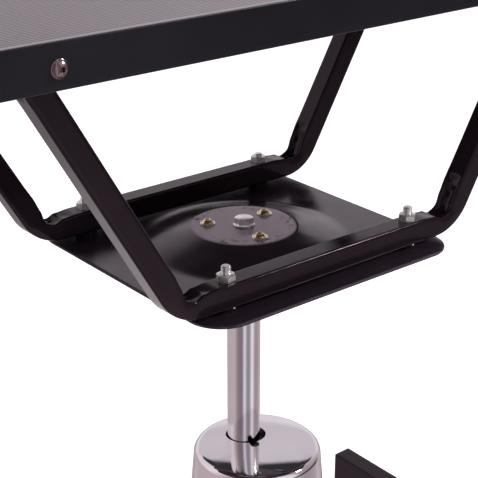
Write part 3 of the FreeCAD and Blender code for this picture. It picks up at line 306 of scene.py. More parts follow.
def piece(name, shells, body, slot, node=None, look=None, sharp=32, marks=None):
    """One mesh object from shells, each alone or with its matrix, riding on a body. It stands for a
    CAD node, and has the look of its slot unless another is given."""
    points, faces = [], []
    for shell in shells:
        (local, local_faces), place = shell if isinstance(shell[1], Matrix) else (shell, None)
        base = len(points)
        points += [tuple(place @ Vector(p) if place else p) for p in local]
        faces += [tuple(base + i for i in f) for f in local_faces]
    mesh = bpy.data.meshes.new(name)
    mesh.from_pydata(points, [], faces)
    if marks is not None:
        edge_marks = mesh.attributes.new("edge_mark", "FLOAT", "POINT")
        edge_marks.data.foreach_set("value", [marks(Vector(p)) for p in points])
    work = bmesh.new()
    work.from_mesh(mesh)
    bmesh.ops.remove_doubles(work, verts=work.verts, dist=1e-6)
    bmesh.ops.dissolve_degenerate(work, edges=work.edges, dist=1e-7)
    bmesh.ops.recalc_face_normals(work, faces=work.faces)
    work.to_mesh(mesh)
    work.free()
    mesh.shade_smooth()
    mesh.set_sharp_from_angle(angle=math.radians(sharp))
    mesh.materials.append((look or LOOKS[slot]).material)
    made = put_in_scene(name, mesh)
    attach(made, body)
    if node:
        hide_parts(node)
    return made


# ---- materials ----
class Graph:
    """Node tree of a material or a world; its nodes are made already joined to their sources."""

    def __init__(self, owner):
        owner.use_nodes = True
        self.nodes, self.links = owner.node_tree.nodes, owner.node_tree.links

    def feed(self, socket, source):
        """Joins an input to another node's output, or sets its constant; None leaves it alone."""
        if isinstance(source, bpy.types.NodeSocket):
            self.links.new(source, socket)
        elif source is not None:
            socket.default_value = source

    def node(self, kind, *sources, **settings):
        made = self.nodes.new(kind)
        for name, value in settings.items():
            setattr(made, name, value)
        for socket, source in zip(made.inputs, sources):
            self.feed(socket, source)
        return made

    def math(self, operation, a, b=0.0):
        return self.node("ShaderNodeMath", a, b, operation=operation).outputs[0]

    def vector(self, operation, a, b=None):
        return self.node("ShaderNodeVectorMath", a, b, operation=operation)

    def step(self, value, low, high, to_low=0.0, to_high=1.0):
        """The value's range low to high mapped on another range, clamped."""
        return self.node("ShaderNodeMapRange", value, low, high, to_low, to_high).outputs[0]

    def ramp(self, share, stops):
        """Colour from (position, colour) stops."""
        made = self.node("ShaderNodeValToRGB", share)
        elements = made.color_ramp.elements
        while len(elements) < len(stops):
            elements.new(0.5)
        for element, (position, colour) in zip(elements, stops):
            element.position = position
            element.color = (*colour, 1)
        return made.outputs[0]

    def mix(self, share, under, over):
        """Colour between two; the node's colour inputs come after five for other kinds of value."""
        unused = [None] * 5
        return self.node("ShaderNodeMix", share, *unused, under, over, data_type="RGBA").outputs[2]


class Look(Graph):
    """A material round one Principled shader, textured in the frame's coordinates."""

    def __init__(self, name, colour, roughness, metallic, **sockets):
        self.material = bpy.data.materials.new(name)
        super().__init__(self.material)
        self.shader = self.nodes["Principled BSDF"]
        self.normal = None
        sockets.update(Base_Color=(*colour, 1), Roughness=roughness, Metallic=metallic)
        for socket, value in sockets.items():
            self.put(socket.replace("_", " "), value)
        self.place = self.node("ShaderNodeTexCoord").outputs["Object"]

    def put(self, socket, source):
        self.feed(self.shader.inputs[socket], source)

    def noise(self, scale, detail, stretch=(1, 1, 1)):
        """Noise with about `scale` features to the metre, drawn out along axes by the stretch."""
        mapping = self.node("ShaderNodeMapping", self.place)
        mapping.inputs["Scale"].default_value = stretch
        made = self.node("ShaderNodeTexNoise", mapping.outputs[0])
        made.inputs["Scale"].default_value = scale
        made.inputs["Detail"].default_value = detail
        return made.outputs["Fac"]

    def bump(self, height, depth, strength):
        made = self.node("ShaderNodeBump")
        for socket, source in (("Strength", strength), ("Distance", depth), ("Height", height),
                               ("Normal", self.normal)):
            self.feed(made.inputs[socket], source)
        self.normal = made.outputs[0]
        self.put("Normal", self.normal)


def surface(name, colour, roughness, tones, rough, *bumps, metallic=0.0, **sockets):
    """Look made of noises, each (scale, detail) or (scale, detail, stretch). Tones: a noise and
    (position, colour) stops. Rough: a noise, the roughness it is mapped on, and the part of the
    noise that is used. Bumps: a noise, its depth in mm and its strength."""
    look = Look(name, colour, roughness, metallic, **sockets)
    look.tone = look.ramp(look.noise(*tones[0]), tones[1:])
    look.put("Base Color", look.tone)
    noise, low, high, from_low, from_high = (*rough, 0.3, 0.7)[:5]
    look.put("Roughness", look.step(look.noise(*noise), from_low, from_high, low, high))
    for noise, depth, strength in bumps:
        look.bump(look.noise(*noise), depth * MM, strength)
    return look


def black_coat(name, ior, tint, dark, light):
    """Glossy black powder coat: faint brown cast, slight waviness and grain."""
    return surface(name, dark, 0.2, ((9, 3), (0.3, dark), (0.7, light)), ((60, 6), 0.11, 0.19),
                   ((500, 2), 0.02, 0.12), ((45, 2), 0.2, 0.05), IOR=ior, Specular_Tint=(*tint, 1))


def wear_plate(look):
    """Scuffs round the dome's flat middle, a lighter film on it that is dust and a painted sheen, and chips along
    the plate's edge.
    """
    split = look.node("ShaderNodeSeparateXYZ", look.place)
    flat = look.node("ShaderNodeCombineXYZ", split.outputs[0], split.outputs[1])
    radius = look.vector("LENGTH", flat.outputs[0]).outputs["Value"]
    inner = look.step(radius, DISC_R - 15 * MM, DISC_R - 6 * MM)
    outer = look.step(radius, DISC_R + 1 * MM, DISC_R - 2 * MM)
    patches = look.step(look.noise(170, 5), 0.53, 0.57)
    clumps = look.step(look.noise(28, 2), 0.46, 0.60)
    scuffs = look.math("MULTIPLY", look.math("MULTIPLY", inner, outer), patches)
    scuffs = look.math("MULTIPLY", scuffs, clumps)
    marks = look.node("ShaderNodeAttribute", attribute_name="edge_mark").outputs["Fac"]
    chips = look.math("MULTIPLY", marks, look.step(look.noise(420, 3), 0.70, 0.74))
    # The disc gets a lighter, partly metallic film: dust, and a painted sheen that brightens it.
    dust_and_sheen = look.step(radius, DISC_R + 1 * MM, DISC_R - 1 * MM)
    filmed = look.mix(dust_and_sheen, look.tone, DUST_AND_SHEEN_FILM)
    look.put("Metallic", look.math("MULTIPLY", dust_and_sheen, 0.2))
    look.put("Base Color", look.mix(chips, filmed, BARE_CHIP))
    worn = look.step(look.noise(40, 4), 0.3, 0.7, 0.16, 0.27)
    for where, rougher in ((scuffs, 0.5), (marks, 0.4)):
        worn = look.math("ADD", worn, look.math("MULTIPLY", where, rougher))
    look.put("Roughness", worn)
    look.bump(scuffs, -0.12 * MM, 0.8)


def plated(name, dark, light, low, high, scale=260):
    """Plated steel with a soft crystalline mottling and fine tool marks."""
    return surface(name, light, low, ((scale, 5), (0.35, dark), (0.65, light)),
                   ((scale * 3, 4), low, high), ((1800, 3), 0.02, 0.3), metallic=1.0)


def chrome(name, low, high):
    """Polished chromium with faint smudges; the smudges have the higher roughness."""
    return surface(name, (0.80, 0.78, 0.79), low,
                   ((14, 2), (0.3, (0.78, 0.755, 0.765)), (0.7, (0.83, 0.81, 0.82))),
                   ((22, 5), low, high, 0.52, 0.72), ((900, 2), 0.004, 0.2), metallic=1.0)


def brushed(name, colour, low, high):
    """Turned or ground metal with fine marks drawn out along the Z axis."""
    marks, dim = (1500, 4, (1, 1, 0.05)), tuple(c * 0.82 for c in colour)
    return surface(name, colour, low, (marks, (0.35, dim), (0.65, colour)), (marks, low, high),
                   (marks, 0.015, 0.3), metallic=1.0)


def rubber(name, colour):
    pale = tuple(c * 1.9 + 0.004 for c in colour)
    return surface(name, colour, 0.65, ((90, 6), (0.35, colour), (0.75, pale)),
                   ((500, 3), 0.55, 0.75), ((1100, 3), 0.04, 0.5), IOR=1.45)


DISC_R = 58 * MM                        # the dome's flat middle
# Lighter film on the dome's middle, dust and a painted sheen; bare steel in the chips.
DUST_AND_SHEEN_FILM, BARE_CHIP = (0.195, 0.155, 0.175, 1), (0.20, 0.18, 0.19, 1)
BOARD_GRAIN = (60, 6, (0.04, 1, 1))     # along the table
IRON_GRIT = (420, 6)
LOOKS = {
    "black_coat": black_coat("gloss_black_coat", 1.33, (1.0, 0.74, 0.86), (0.0055, 0.003, 0.0048),
                             (0.010, 0.006, 0.0085)),
    "trim_coat": surface(
        "satin_black_trim", (0.006, 0.0055, 0.008), 0.36,
        ((4, 3), (0.3, (0.0045, 0.0042, 0.006)), (0.7, (0.008, 0.0075, 0.0105))),
        ((30, 5), 0.30, 0.42), ((1500, 2), 0.03, 0.4), IOR=1.3),
    # The mat's grey base is lighter than its black rubber: a painted sheen of the light at a grazing angle.
    "mat_rubber": surface(
        "ribbed_rubber", (0.08, 0.068, 0.077), 0.5,
        ((6, 3), (0.3, (0.110, 0.091, 0.104)), (0.7, (0.130, 0.109, 0.124))),
        ((900, 3), 0.42, 0.58), ((2200, 2), 0.03, 0.5),
        IOR=1.5, Sheen_Weight=0.5, Sheen_Roughness=0.4),
    "board_wood": surface(
        "dark_laminate", (0.03, 0.024, 0.022), 0.5,
        (BOARD_GRAIN, (0.35, (0.016, 0.012, 0.011)), (0.65, (0.034, 0.026, 0.023))),
        (BOARD_GRAIN, 0.42, 0.6), (BOARD_GRAIN, 0.05, 0.4)),
    "zinc": plated("bright_zinc", (0.76, 0.75, 0.72), (0.94, 0.93, 0.90), 0.24, 0.38),
    # Chromated zinc is gold, with red and green where the film's thickness changes.
    "yellow_zinc": surface(
        "yellow_zinc", (0.7, 0.55, 0.28), 0.22,
        ((210, 3), (0.34, (0.55, 0.56, 0.30)), (0.46, (0.92, 0.82, 0.50)),
         (0.56, (0.96, 0.78, 0.50)), (0.68, (0.74, 0.40, 0.32))),
        ((700, 3), 0.16, 0.30), ((900, 3), 0.03, 0.4), metallic=1.0),
    "chrome": chrome("polished_chrome", 0.04, 0.15),
    "dark_nickel": plated("dark_nickel", (0.20, 0.13, 0.13), (0.36, 0.27, 0.28), 0.14, 0.24, 120),
    "ground_steel": brushed("ground_steel", (0.52, 0.51, 0.50), 0.25, 0.42),
    "spring_steel": brushed("spring_steel", (0.36, 0.35, 0.35), 0.28, 0.45),
    "bronze": brushed("bearing_bronze", (0.60, 0.42, 0.22), 0.28, 0.45),
    "cast_iron": surface(
        "cast_iron", (0.06, 0.058, 0.06), 0.6,
        (IRON_GRIT, (0.35, (0.035, 0.034, 0.036)), (0.65, (0.075, 0.072, 0.075))),
        (IRON_GRIT, 0.5, 0.75), (IRON_GRIT, 0.3, 0.5), metallic=0.4),
    "seal_rubber": rubber("seal_rubber", (0.012, 0.012, 0.013)),
    "foot_rubber": rubber("foot_rubber", (0.020, 0.019, 0.020)),
    "black_plastic": surface(
        "black_plastic", (0.018, 0.017, 0.019), 0.42,
        ((30, 3), (0.3, (0.014, 0.013, 0.015)), (0.7, (0.024, 0.022, 0.025))),
        ((300, 3), 0.36, 0.48), ((1300, 3), 0.04, 0.5), IOR=1.46),
}
PLATE_COAT = black_coat("gloss_black_plate", 1.58, (1.0, 0.84, 0.96), (0.011, 0.007, 0.011),
                        (0.016, 0.010, 0.0155))
wear_plate(PLATE_COAT)
RAM_CHROME = chrome("ground_chrome", 0.12, 0.18)


# ---- support frames ----
TUBE = 25 * MM
TUBE_CORNER = 2.4 * MM
LEG_ANGLE = math.radians(60)
LOWER_BEND_X = 185 * MM                 # where the centre lines of rail and leg meet
BEND_MID_R = 42.5 * MM                  # radius of a bend's centre line
PLUG_T = 3 * MM


def smooth_through(knots, s):
    """Value at s on a curve with flat tangents at its knots, which are (place, value)."""
    if s <= knots[0][0]:
        return knots[0][1]
    for (s0, v0), (s1, v1) in zip(knots, knots[1:]):
        if s <= s1:
            t = (s - s0) / (s1 - s0)
            return v0 + (v1 - v0) * t * t * (3 - 2 * t)
    return knots[-1][1]


# The inner wall of a bend: its lips and how far the middle is pressed below them, against the
# distance along the tube from the middle of the bend (negative on the side of the rail).
LIP = [(-42, 0), (-25, -1.3), (-10, -6.4), (1, -6.4), (21, -0.7), (40, 0.5), (60, 0)]
POCKET = [(-36, 0), (-20, 0.9), (-9, 2.6), (5, 5.2), (26, 5.0), (38, 2.6), (48, 0)]


def inner_wall(s, v):
    """Height of a bend's inner wall above the nominal one, v from -1 to 1 across the tube."""
    s = s / MM
    bowl = max(0.0, math.cos(math.pi / 2 * min(1.0, abs(v) / 0.86))) ** 0.65
    spread = 0.10 + 0.030 * max(0.0, -s)
    near_fold = math.exp(-((s + 8) / 6) ** 2)
    crease = sum(math.exp(-((v - side * spread) / 0.10) ** 2) for side in SIDES)
    wrinkle = (1.5 * crease + 0.3 * math.sin(0.9 * s + 2.2 * v)) * near_fold * bowl
    return (smooth_through(LIP, s) - smooth_through(POCKET, s) * bowl + wrinkle) * MM


def frame_stations(rail_mid, top_mid, end_x):
    """(centre, inward normal, distance past the lower bend, distance past the upper bend) along a
    half frame, from the middle of its rail to the end of its top run."""
    rise = top_mid - rail_mid
    low = Vector((LOWER_BEND_X, 0, rail_mid))
    high = Vector((LOWER_BEND_X + rise / math.tan(LEG_ANGLE), 0, top_mid))
    tangent = BEND_MID_R * math.tan(LEG_ANGLE / 2)
    half_arc = BEND_MID_R * LEG_ANGLE / 2
    leg = (high - low).length - 2 * tangent
    s_low = low.x - tangent + half_arc
    s_high = s_low + half_arc + leg + half_arc
    total = s_high + half_arc + (end_x - high.x - tangent)
    fine, coarse, reach = 1.2 * MM, 14 * MM, 62 * MM
    stops, s = [], 0.0
    while s < total:
        stops.append(s)
        s += fine if min(abs(s - s_low), abs(s - s_high)) < reach else coarse
    stops.append(total)
    made = []
    for s in stops:
        in_low_half = s < s_high - half_arc - leg / 2
        past, corner, flip = (s - s_low, low, 1) if in_low_half else (s_high - s, high, -1)
        turn = LEG_ANGLE / 2 * (1 + min(max(past / half_arc, -1), 1))
        hub = Vector((-tangent, 0, BEND_MID_R))
        normal = Vector((-math.sin(turn), 0, math.cos(turn)))
        if abs(past) < half_arc:
            point = hub - BEND_MID_R * normal
        elif past < 0:
            point = Vector((-tangent + past + half_arc, 0, 0))
        else:
            point = (tangent + past - half_arc) * Vector((math.cos(turn), 0, math.sin(turn)))
        made.append((corner + flip * point, normal, s - s_low, s_high - s))
    return made


def frame_ring(centre, normal, past_low, past_high):
    """Section of the tube: a rounded square whose upper and lower walls follow the bends."""
    half, corner = TUBE / 2, TUBE_CORNER
    flat = half - corner
    walls = {1: past_low, -1: past_high}
    swell = 0.6 * MM * sum(math.exp(-(past / (18 * MM)) ** 2) for past in walls.values())
    ring = []
    for quarter, (side_u, side_v) in enumerate(((1, 1), (1, -1), (-1, -1), (-1, 1))):
        wall = half + inner_wall(walls[side_u], 1.0)
        for dv, du in arc(0, 0, corner, 90 * quarter, 90 * quarter + 90, 5):
            ring.append((side_u * (wall - corner) + du, side_v * flat + dv))
        steps = 26 if quarter % 2 == 0 else 8
        for i in range(1, steps):
            t = i / steps
            if quarter % 2 == 0:
                v = side_v * flat * (1 - 2 * t)
                ring.append((side_u * (half + inner_wall(walls[side_u], v / flat)), v))
            else:
                other = half + inner_wall(walls[-side_u], 1.0)
                u = side_u * (wall - corner) * (1 - t) - side_u * (other - corner) * t
                ring.append((u, side_v * (half + swell * math.sin(math.pi * t))))
    return [tuple(centre + normal * u + Y_AXIS * v) for u, v in ring]


def tube_frame(node):
    low, high, mid = whole(node)
    stations = frame_stations(low.z + TUBE / 2, high.z - TUBE / 2, high.x)
    half = [frame_ring(*station) for station in stations]
    mirrored = [[(-x, y, z) for x, y, z in ring] for ring in reversed(half[1:])]
    return skin([[(x, y + mid.y, z) for x, y, z in ring] for ring in mirrored + half])


for end in ("front", "rear"):
    node = "support_frame_" + end
    piece("bent_frame_" + end, [tube_frame(node)], "table", "black_coat", node, sharp=50)


def end_plugs():
    plug = slab(TUBE / 2, TUBE / 2, 1.5 * MM, 0, PLUG_T, 0.8 * MM)
    for low, high, mid in solids("frame_end_plugs"):
        side, outer = outer_end(low, high, 0)
        yield plug, facing((outer - side * PLUG_T, mid.y, mid.z), X_AXIS * side)


piece("tube_end_plugs", end_plugs(), "table", "black_plastic", "frame_end_plugs")


# ---- mounting plate ----
PLATE_CORNER = 38 * MM
PLATE_T = 3 * MM
DOME_RISE, DOME_FOOT_R = 16 * MM, 121 * MM
DOME_SHOULDER, DOME_FOOT = 6 * MM, 13 * MM


def eased(x, width):
    """Distance past the start of a slope, whose steepness comes in over a width."""
    x = max(x, 0.0)
    return min(x, width) ** 2 / (2 * width) + max(x - width, 0.0)


def dome_height(r):
    """Height of the pressed dome above the plate's rim."""
    start, end = DISC_R - DOME_SHOULDER / 2, DOME_FOOT_R - DOME_FOOT
    slope = DOME_RISE / (eased(DOME_FOOT_R - start, DOME_SHOULDER) - eased(DOME_FOOT, DOME_FOOT))
    return DOME_RISE - slope * (eased(r - start, DOME_SHOULDER) - eased(r - end, DOME_FOOT))


def pressed_plate():
    """The plate's shell, and the function that marks the points along its edge."""
    low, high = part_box("mounting_plate")
    rim_top, edge = high.z - DOME_RISE, 1.1 * MM
    corner_steps, side_steps = 20, 24
    corners = rounded_rectangle(high.x, high.y, PLATE_CORNER, corner_steps)
    outline = []
    for i, (start, end) in enumerate(zip(corners, corners[1:] + corners[:1])):
        straight = i % (corner_steps + 1) == corner_steps
        outline += between(start, end, side_steps if straight else 1)

    def ring(share, inset, drop):
        """Ring at a share of the dome's foot radius up to 1, and from there to 2 at the outline."""
        points = []
        for x, y in outline:
            reach = math.hypot(x, y)
            out = Vector((x, y, 0)) * ((reach - inset) / reach)
            foot = Vector((x, y, 0)) * (DOME_FOOT_R / reach)
            spot = foot * share if share <= 1 else foot.lerp(out, share - 1)
            z = rim_top - drop + (0.0 if share > 1 else dome_height(DOME_FOOT_R * share))
            points.append((spot.x, spot.y, z))
        return points

    shoulder = [DISC_R + DOME_SHOULDER * (i / 8 - 0.5) for i in range(9)]
    foot = [DOME_FOOT_R - DOME_FOOT * (1 - i / 8) for i in range(9)]
    radii = [0.0] + [DISC_R * i / 6 for i in range(1, 6)] + shoulder
    radii += [shoulder[-1] + (foot[0] - shoulder[-1]) * i / 6 for i in range(1, 6)] + foot
    shares = [r / DOME_FOOT_R for r in radii] + [1.25, 1.5, 1.75, 1.95]
    rings = [ring(share, edge, 0.0) for share in shares]
    for i in range(7):
        a = math.pi * i / 6
        drop = edge * (1 - math.cos(a)) if i <= 3 else PLATE_T - edge * (1 + math.cos(a))
        rings.append(ring(2, edge * (1 - math.sin(a)), drop))
    rings += [ring(share, edge, PLATE_T) for share in reversed(shares)]

    def near_edge(point):
        gap = min(high.x - abs(point.x), high.y - abs(point.y))
        return 1.0 if gap < 1.5 * MM else 0.0

    return skin(rings, caps=False), near_edge


plate_shell, plate_edge = pressed_plate()
piece("pressed_plate", [plate_shell], "table", "black_coat", "mounting_plate", PLATE_COAT,
      sharp=60, marks=plate_edge)


# ---- ram and cover ----
def ram():
    low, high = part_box("ram_rod")
    r, edge, steps = high.x, 0.8 * MM, 24
    spigot_r, shoulder = 12 * MM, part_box("ram_guide_ring")[1].z + 0.3 * MM
    profile = [(0.0, low.z), (spigot_r - edge, low.z), (spigot_r, low.z + edge),
               (spigot_r, shoulder), (r - edge, shoulder), (r, shoulder + edge)]
    profile += [(r, shoulder + (high.z - shoulder) * i / steps) for i in range(1, steps + 1)]
    return polar(profile + [(0.0, high.z)], 128)


piece("chromed_ram", [ram()], "table", "chrome", "ram_rod", RAM_CHROME)

COVER_AXIS_Y = -25 * MM
COVER_HOLE = (1.8 * MM, -1.8 * MM)
COVER_HOLE_HALF_LONG, COVER_HOLE_HALF_SHORT = 23.6 * MM, 20.3 * MM
COVER_HOLE_TURN = math.radians(-39)
NOTCH_R, NOTCH = 5.6 * MM, (-6.8 * MM, -24.5 * MM)   # from the hole's centre
COVER_CROWN, COVER_EDGE_R = 2.2 * MM, 9 * MM
COVER_FLAT_R, COVER_TAPER, COVER_WALL = 66 * MM, 0.08, 1.5 * MM
SLOT_HALF, SLOT_TOP, SLOT_REACH = 16 * MM, 132 * MM, 96 * MM   # reach: from the cover's axis


def cover_shell():
    """Thin cover as columns that run from the ram's hole over the edge and down to the foot."""
    low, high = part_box("pump_cover")
    tilt = math.atan(3 * COVER_CROWN / COVER_FLAT_R)
    hub_z = high.z - COVER_CROWN - COVER_EDGE_R * math.cos(tilt)
    notch_reach = math.hypot(*NOTCH)
    notch_angle = math.atan2(NOTCH[1], NOTCH[0]) % TAU
    notch_spread = math.asin(NOTCH_R / notch_reach)
    slot_spread = math.asin(SLOT_HALF / SLOT_REACH)
    slot_stops = (-1.0001, *(math.sin(math.pi / 2 * i / 12) for i in range(-12, 13)), 1.0001)
    angles = turns(240) + [(3 * math.pi / 2 + slot_spread * t) % TAU for t in slot_stops]
    angles += [(notch_angle + notch_spread * t / 8) % TAU for t in (-8.016, *range(-8, 9), 8.016)]
    angles = sorted({round(a, 6) for a in angles})

    def hole_radius(a):
        off = (a - notch_angle + math.pi) % TAU - math.pi
        turned = a - COVER_HOLE_TURN
        oval = 1 / math.hypot(math.cos(turned) / COVER_HOLE_HALF_LONG,
                              math.sin(turned) / COVER_HOLE_HALF_SHORT)
        if abs(off) > notch_spread:
            return oval
        side = notch_reach * math.sin(off)
        notch = notch_reach * math.cos(off) + math.sqrt(max(NOTCH_R ** 2 - side ** 2, 0.0))
        return max(oval, notch)

    def foot_height(a):
        x = SLOT_REACH * math.cos(a)
        if math.sin(a) > 0 or abs(x) >= SLOT_HALF:
            return low.z
        return SLOT_TOP - SLOT_HALF + math.sqrt(SLOT_HALF ** 2 - x ** 2)

    def crown_z(r, drop):
        return high.z - drop - COVER_CROWN * (r / COVER_FLAT_R) ** 3

    wall_r = COVER_FLAT_R + COVER_EDGE_R * (1 - math.sin(tilt))

    def column(a, drop):
        out = Vector((math.cos(a), math.sin(a), 0))
        hub = Vector((0, COVER_AXIS_Y, 0))
        hole = Vector((*COVER_HOLE, 0)) + out * hole_radius(a)
        rim = hub + out * COVER_FLAT_R
        across = [hole.lerp(rim, i / 14) for i in range(15)]
        points = [(p.x, p.y, crown_z((p - hub).length, drop)) for p in across]
        profile = arc(COVER_FLAT_R - COVER_EDGE_R * math.sin(tilt), hub_z, COVER_EDGE_R - drop,
                      90 - math.degrees(tilt), 0, 12)[1:]
        for i in range(1, 17):
            z = hub_z + (foot_height(a) - hub_z) * i / 16
            profile.append((wall_r - drop + COVER_TAPER * (hub_z - z), z))
        return points + [(*(hub + out * r).xy, z) for r, z in profile]

    outer = [column(a, 0.0) for a in angles]
    inner = [column(a, COVER_WALL) for a in angles]
    return skin(list(zip(*outer)) + list(zip(*inner))[::-1], loop=True)


piece("chrome_cover", [cover_shell()], "base", "chrome", "pump_cover", sharp=60)


# ---- fasteners ----
NUT_TURNS = (36, 12, 7, 12)             # degrees, as they were left when tightened
CENTRE_TURN = 52


def upright_nuts(node, diameter, degrees=(0,)):
    for index, (low, high, mid) in enumerate(solids(node)):
        turn = math.radians(degrees[index % len(degrees)])
        nut = hex_shell(diameter, high.z - low.z, diameter / 2 * 0.94)
        yield nut, standing(mid.x, mid.y, low.z, turn)


def upright_bolts(node, diameter, head, up, thread):
    """Hex bolts with their heads above (up 1) or below (up -1), threaded from their ends."""
    for low, high, mid in solids(node):
        seat_z, end_z = (high.z - head, low.z) if up > 0 else (low.z + head, high.z)
        seat, end = Vector((mid.x, mid.y, seat_z)), Vector((mid.x, mid.y, end_z))
        shank = (end - seat).length - thread
        profile = [(0.0, 0.0), (diameter / 2, 0.0), (diameter / 2, shank), (0.0, shank)]
        yield hex_shell(diameter, head), facing(seat, Z_AXIS * up)
        yield polar(profile, 32), facing(seat, -Z_AXIS * up)
        yield (threaded(diameter * 0.98, PITCH[diameter], thread),
               facing(end + Z_AXIS * up * thread, -Z_AXIS * up))


for name, body, node, make, *sizes in (
        ("hex_nuts", "table", "frame_nuts", upright_nuts, M10, NUT_TURNS),
        ("frame_studs", "table", "frame_bolts", upright_bolts, M10, 6.4 * MM, -1, 24 * MM),
        ("board_bolts", "table", "board_screws", upright_bolts, M6, 4 * MM, -1, 16 * MM),
        ("plate_bolts", "base", "pump_plate_bolts", upright_bolts, M8, 5.3 * MM, 1, 18 * MM),
        ("casting_bolts", "base", "pump_bolts", upright_bolts, M10, 6.4 * MM, 1, 20 * MM),
        ("casting_nuts", "base", "pump_nuts", upright_nuts, M10),
        ("rod_nuts", "base", "tie_rod_nuts", upright_nuts, M8)):
    piece(name, make(node, *sizes), body, "zinc", node)


def centre_bolt():
    low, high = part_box("centre_bolt")
    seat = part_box("centre_washer")[1].z
    yield hex_shell(M12, high.z - seat), standing(0, 0, seat, math.radians(CENTRE_TURN))
    yield threaded(M12, PITCH[M12], seat - low.z), facing((0, 0, seat), -Z_AXIS)


piece("ram_centre_bolt", centre_bolt(), "table", "zinc", "centre_bolt")


def washers(node, bore, edge):
    for low, high, mid in solids(node):
        washer = washer_shell((high.x - low.x) / 2, bore, high.z - low.z, edge)
        yield washer, standing(mid.x, mid.y, low.z)


for name, slot, node, bore, edge in (
        ("bolt_washer", "zinc", "centre_washer", 6.1 * MM, 0.5 * MM),
        ("screw_washers", "zinc", "flange_washers", 4.1 * MM, 0.25 * MM),
        # The spacers take the black coat as painted shade: they sit in the dark gap under the rails.
        ("spacer_washers", "black_coat", "frame_spacers", 5.1 * MM, 0.25 * MM)):
    piece(name, washers(node, bore, edge), "table", slot, node)


def flange_screws():
    pairs = zip(solids("flange_screws"), solids("flange_washers"))
    for index, ((low, high, mid), washer) in enumerate(pairs):
        seat = washer[1].z
        head = domed_head(7 * MM, high.z - seat + 0.4 * MM, hexagonal(5 * MM), 2.6 * MM, 0.52, 72)
        yield head, standing(mid.x, mid.y, seat, 0.4 * index)
        yield threaded(M8, PITCH[M8], seat - low.z), facing((mid.x, mid.y, seat), -Z_AXIS)


piece("button_screws", flange_screws(), "table", "yellow_zinc", "flange_screws")


# ---- table top ----
def trim_screws():
    """Screws in all four sides of the trim; those at the ends are near the board's ends."""
    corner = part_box("edge_trim_rear")[1]
    near_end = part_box("table_board")[1].x - 30 * MM
    for low, high, mid in solids("trim_screws"):
        axis = 0 if abs(mid.x) > near_end else 1
        side = math.copysign(1, mid[axis])
        out = (X_AXIS, Y_AXIS)[axis] * side
        seat = mid.copy()
        seat[axis] = side * corner[axis]
        head = domed_head(6.8 * MM, 4.2 * MM, cross_recess(3.6 * MM, 0.75 * MM), 2.0 * MM, 0.3, 96)
        yield head, facing(seat, out, math.radians(35))
        yield threaded(M5, 1.6 * MM, 20 * MM), facing(seat, -out)


piece("edge_screws", trim_screws(), "table", "dark_nickel", "trim_screws")

TRIM_T, TRIM_LIP, TRIM_CORNER = 2 * MM, 18 * MM, 4 * MM


def trim_section():
    """(inset from the outer face, height) round the angle section of the trim."""
    low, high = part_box("edge_trim_front")
    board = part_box("table_board")[0].z
    r, half, cut, fillet = 1.3 * MM, TRIM_T / 2, 0.5 * MM, 0.4 * MM
    section = arc(r, low.z + r, r, 270, 180, 5)
    section += [(0.0, low.z + (high.z - low.z) * i / 6) for i in range(1, 6)]
    section += arc(half, high.z - half, half, 180, 0, 8)
    return section + [(TRIM_T, board + fillet), (TRIM_T + fillet, board), (TRIM_LIP - cut, board),
                      (TRIM_LIP, board - cut), (TRIM_LIP, low.z + cut), (TRIM_LIP - cut, low.z)]


def trim_loop(inset, z, half_x, half_y):
    """Rounded rectangle at an inset, whose corners are split at their middles by the mitres."""
    corner = max(TRIM_CORNER - inset, 0.3 * MM)
    return [(x, y, z) for x, y in rounded_rectangle(half_x - inset, half_y - inset, corner, 8)]


def make_trims():
    low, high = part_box("edge_trim_front")
    loops = [trim_loop(inset, z, high.x, -low.y) for inset, z in trim_section()]
    per_corner, long_run = 9, 40
    for side, name in enumerate(("rear", "left", "front", "right")):
        start = side * per_corner + per_corner // 2
        columns = [(start + i) % len(loops[0]) for i in range(per_corner + 1)]
        rings = []
        for a, b in zip(columns, columns[1:]):
            steps = long_run if (a + 1) % per_corner == 0 else 1
            rings += zip(*(between(loop[a], loop[b], steps) for loop in loops))
        rings.append([loop[columns[-1]] for loop in loops])
        piece("trim_" + name, [skin(rings)], "table", "trim_coat", "edge_trim_" + name, sharp=50)


make_trims()


def ribbed_mat():
    """Rubber sheet with fine ribs along the table."""
    low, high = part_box("table_mat")
    pitch, rib = 4.0 * MM, 0.55 * MM
    margin = 5 * MM
    half_x, half_y = high.x, high.y
    profile = [(-half_y, low.z), (-half_y, high.z - 0.4 * MM), (-half_y + 0.4 * MM, high.z)]
    count = int((2 * half_y - 2 * margin) / pitch)
    y = -count * pitch / 2
    profile.append((y - 0.6 * MM, high.z))
    for _ in range(count):
        for share, drop in ((0.0, rib), (0.25, rib), (0.42, 0.0), (0.83, 0.0)):
            profile.append((y + share * pitch, high.z - drop))
        y += pitch
    profile += [(half_y - 0.4 * MM, high.z), (half_y, high.z - 0.4 * MM), (half_y, low.z)]
    return skin([[(x, y, z) for y, z in profile] for x in (-half_x, half_x)])


piece("ribbed_mat", [ribbed_mat()], "table", "mat_rubber", "table_mat", sharp=25)


# ---- base ----
def side_bolts():
    """Bolts through the side beams, heads outside."""
    head = 5.3 * MM
    for low, high, mid in solids("beam_bolts"):
        side, outer = outer_end(low, high, 0)
        seat = Vector((outer - side * head, mid.y, mid.z))
        length = abs(seat.x - (low if side > 0 else high).x)
        yield hex_shell(M8, head), facing(seat, X_AXIS * side)
        yield threaded(M8 * 0.98, PITCH[M8], length), facing(seat, -X_AXIS * side)


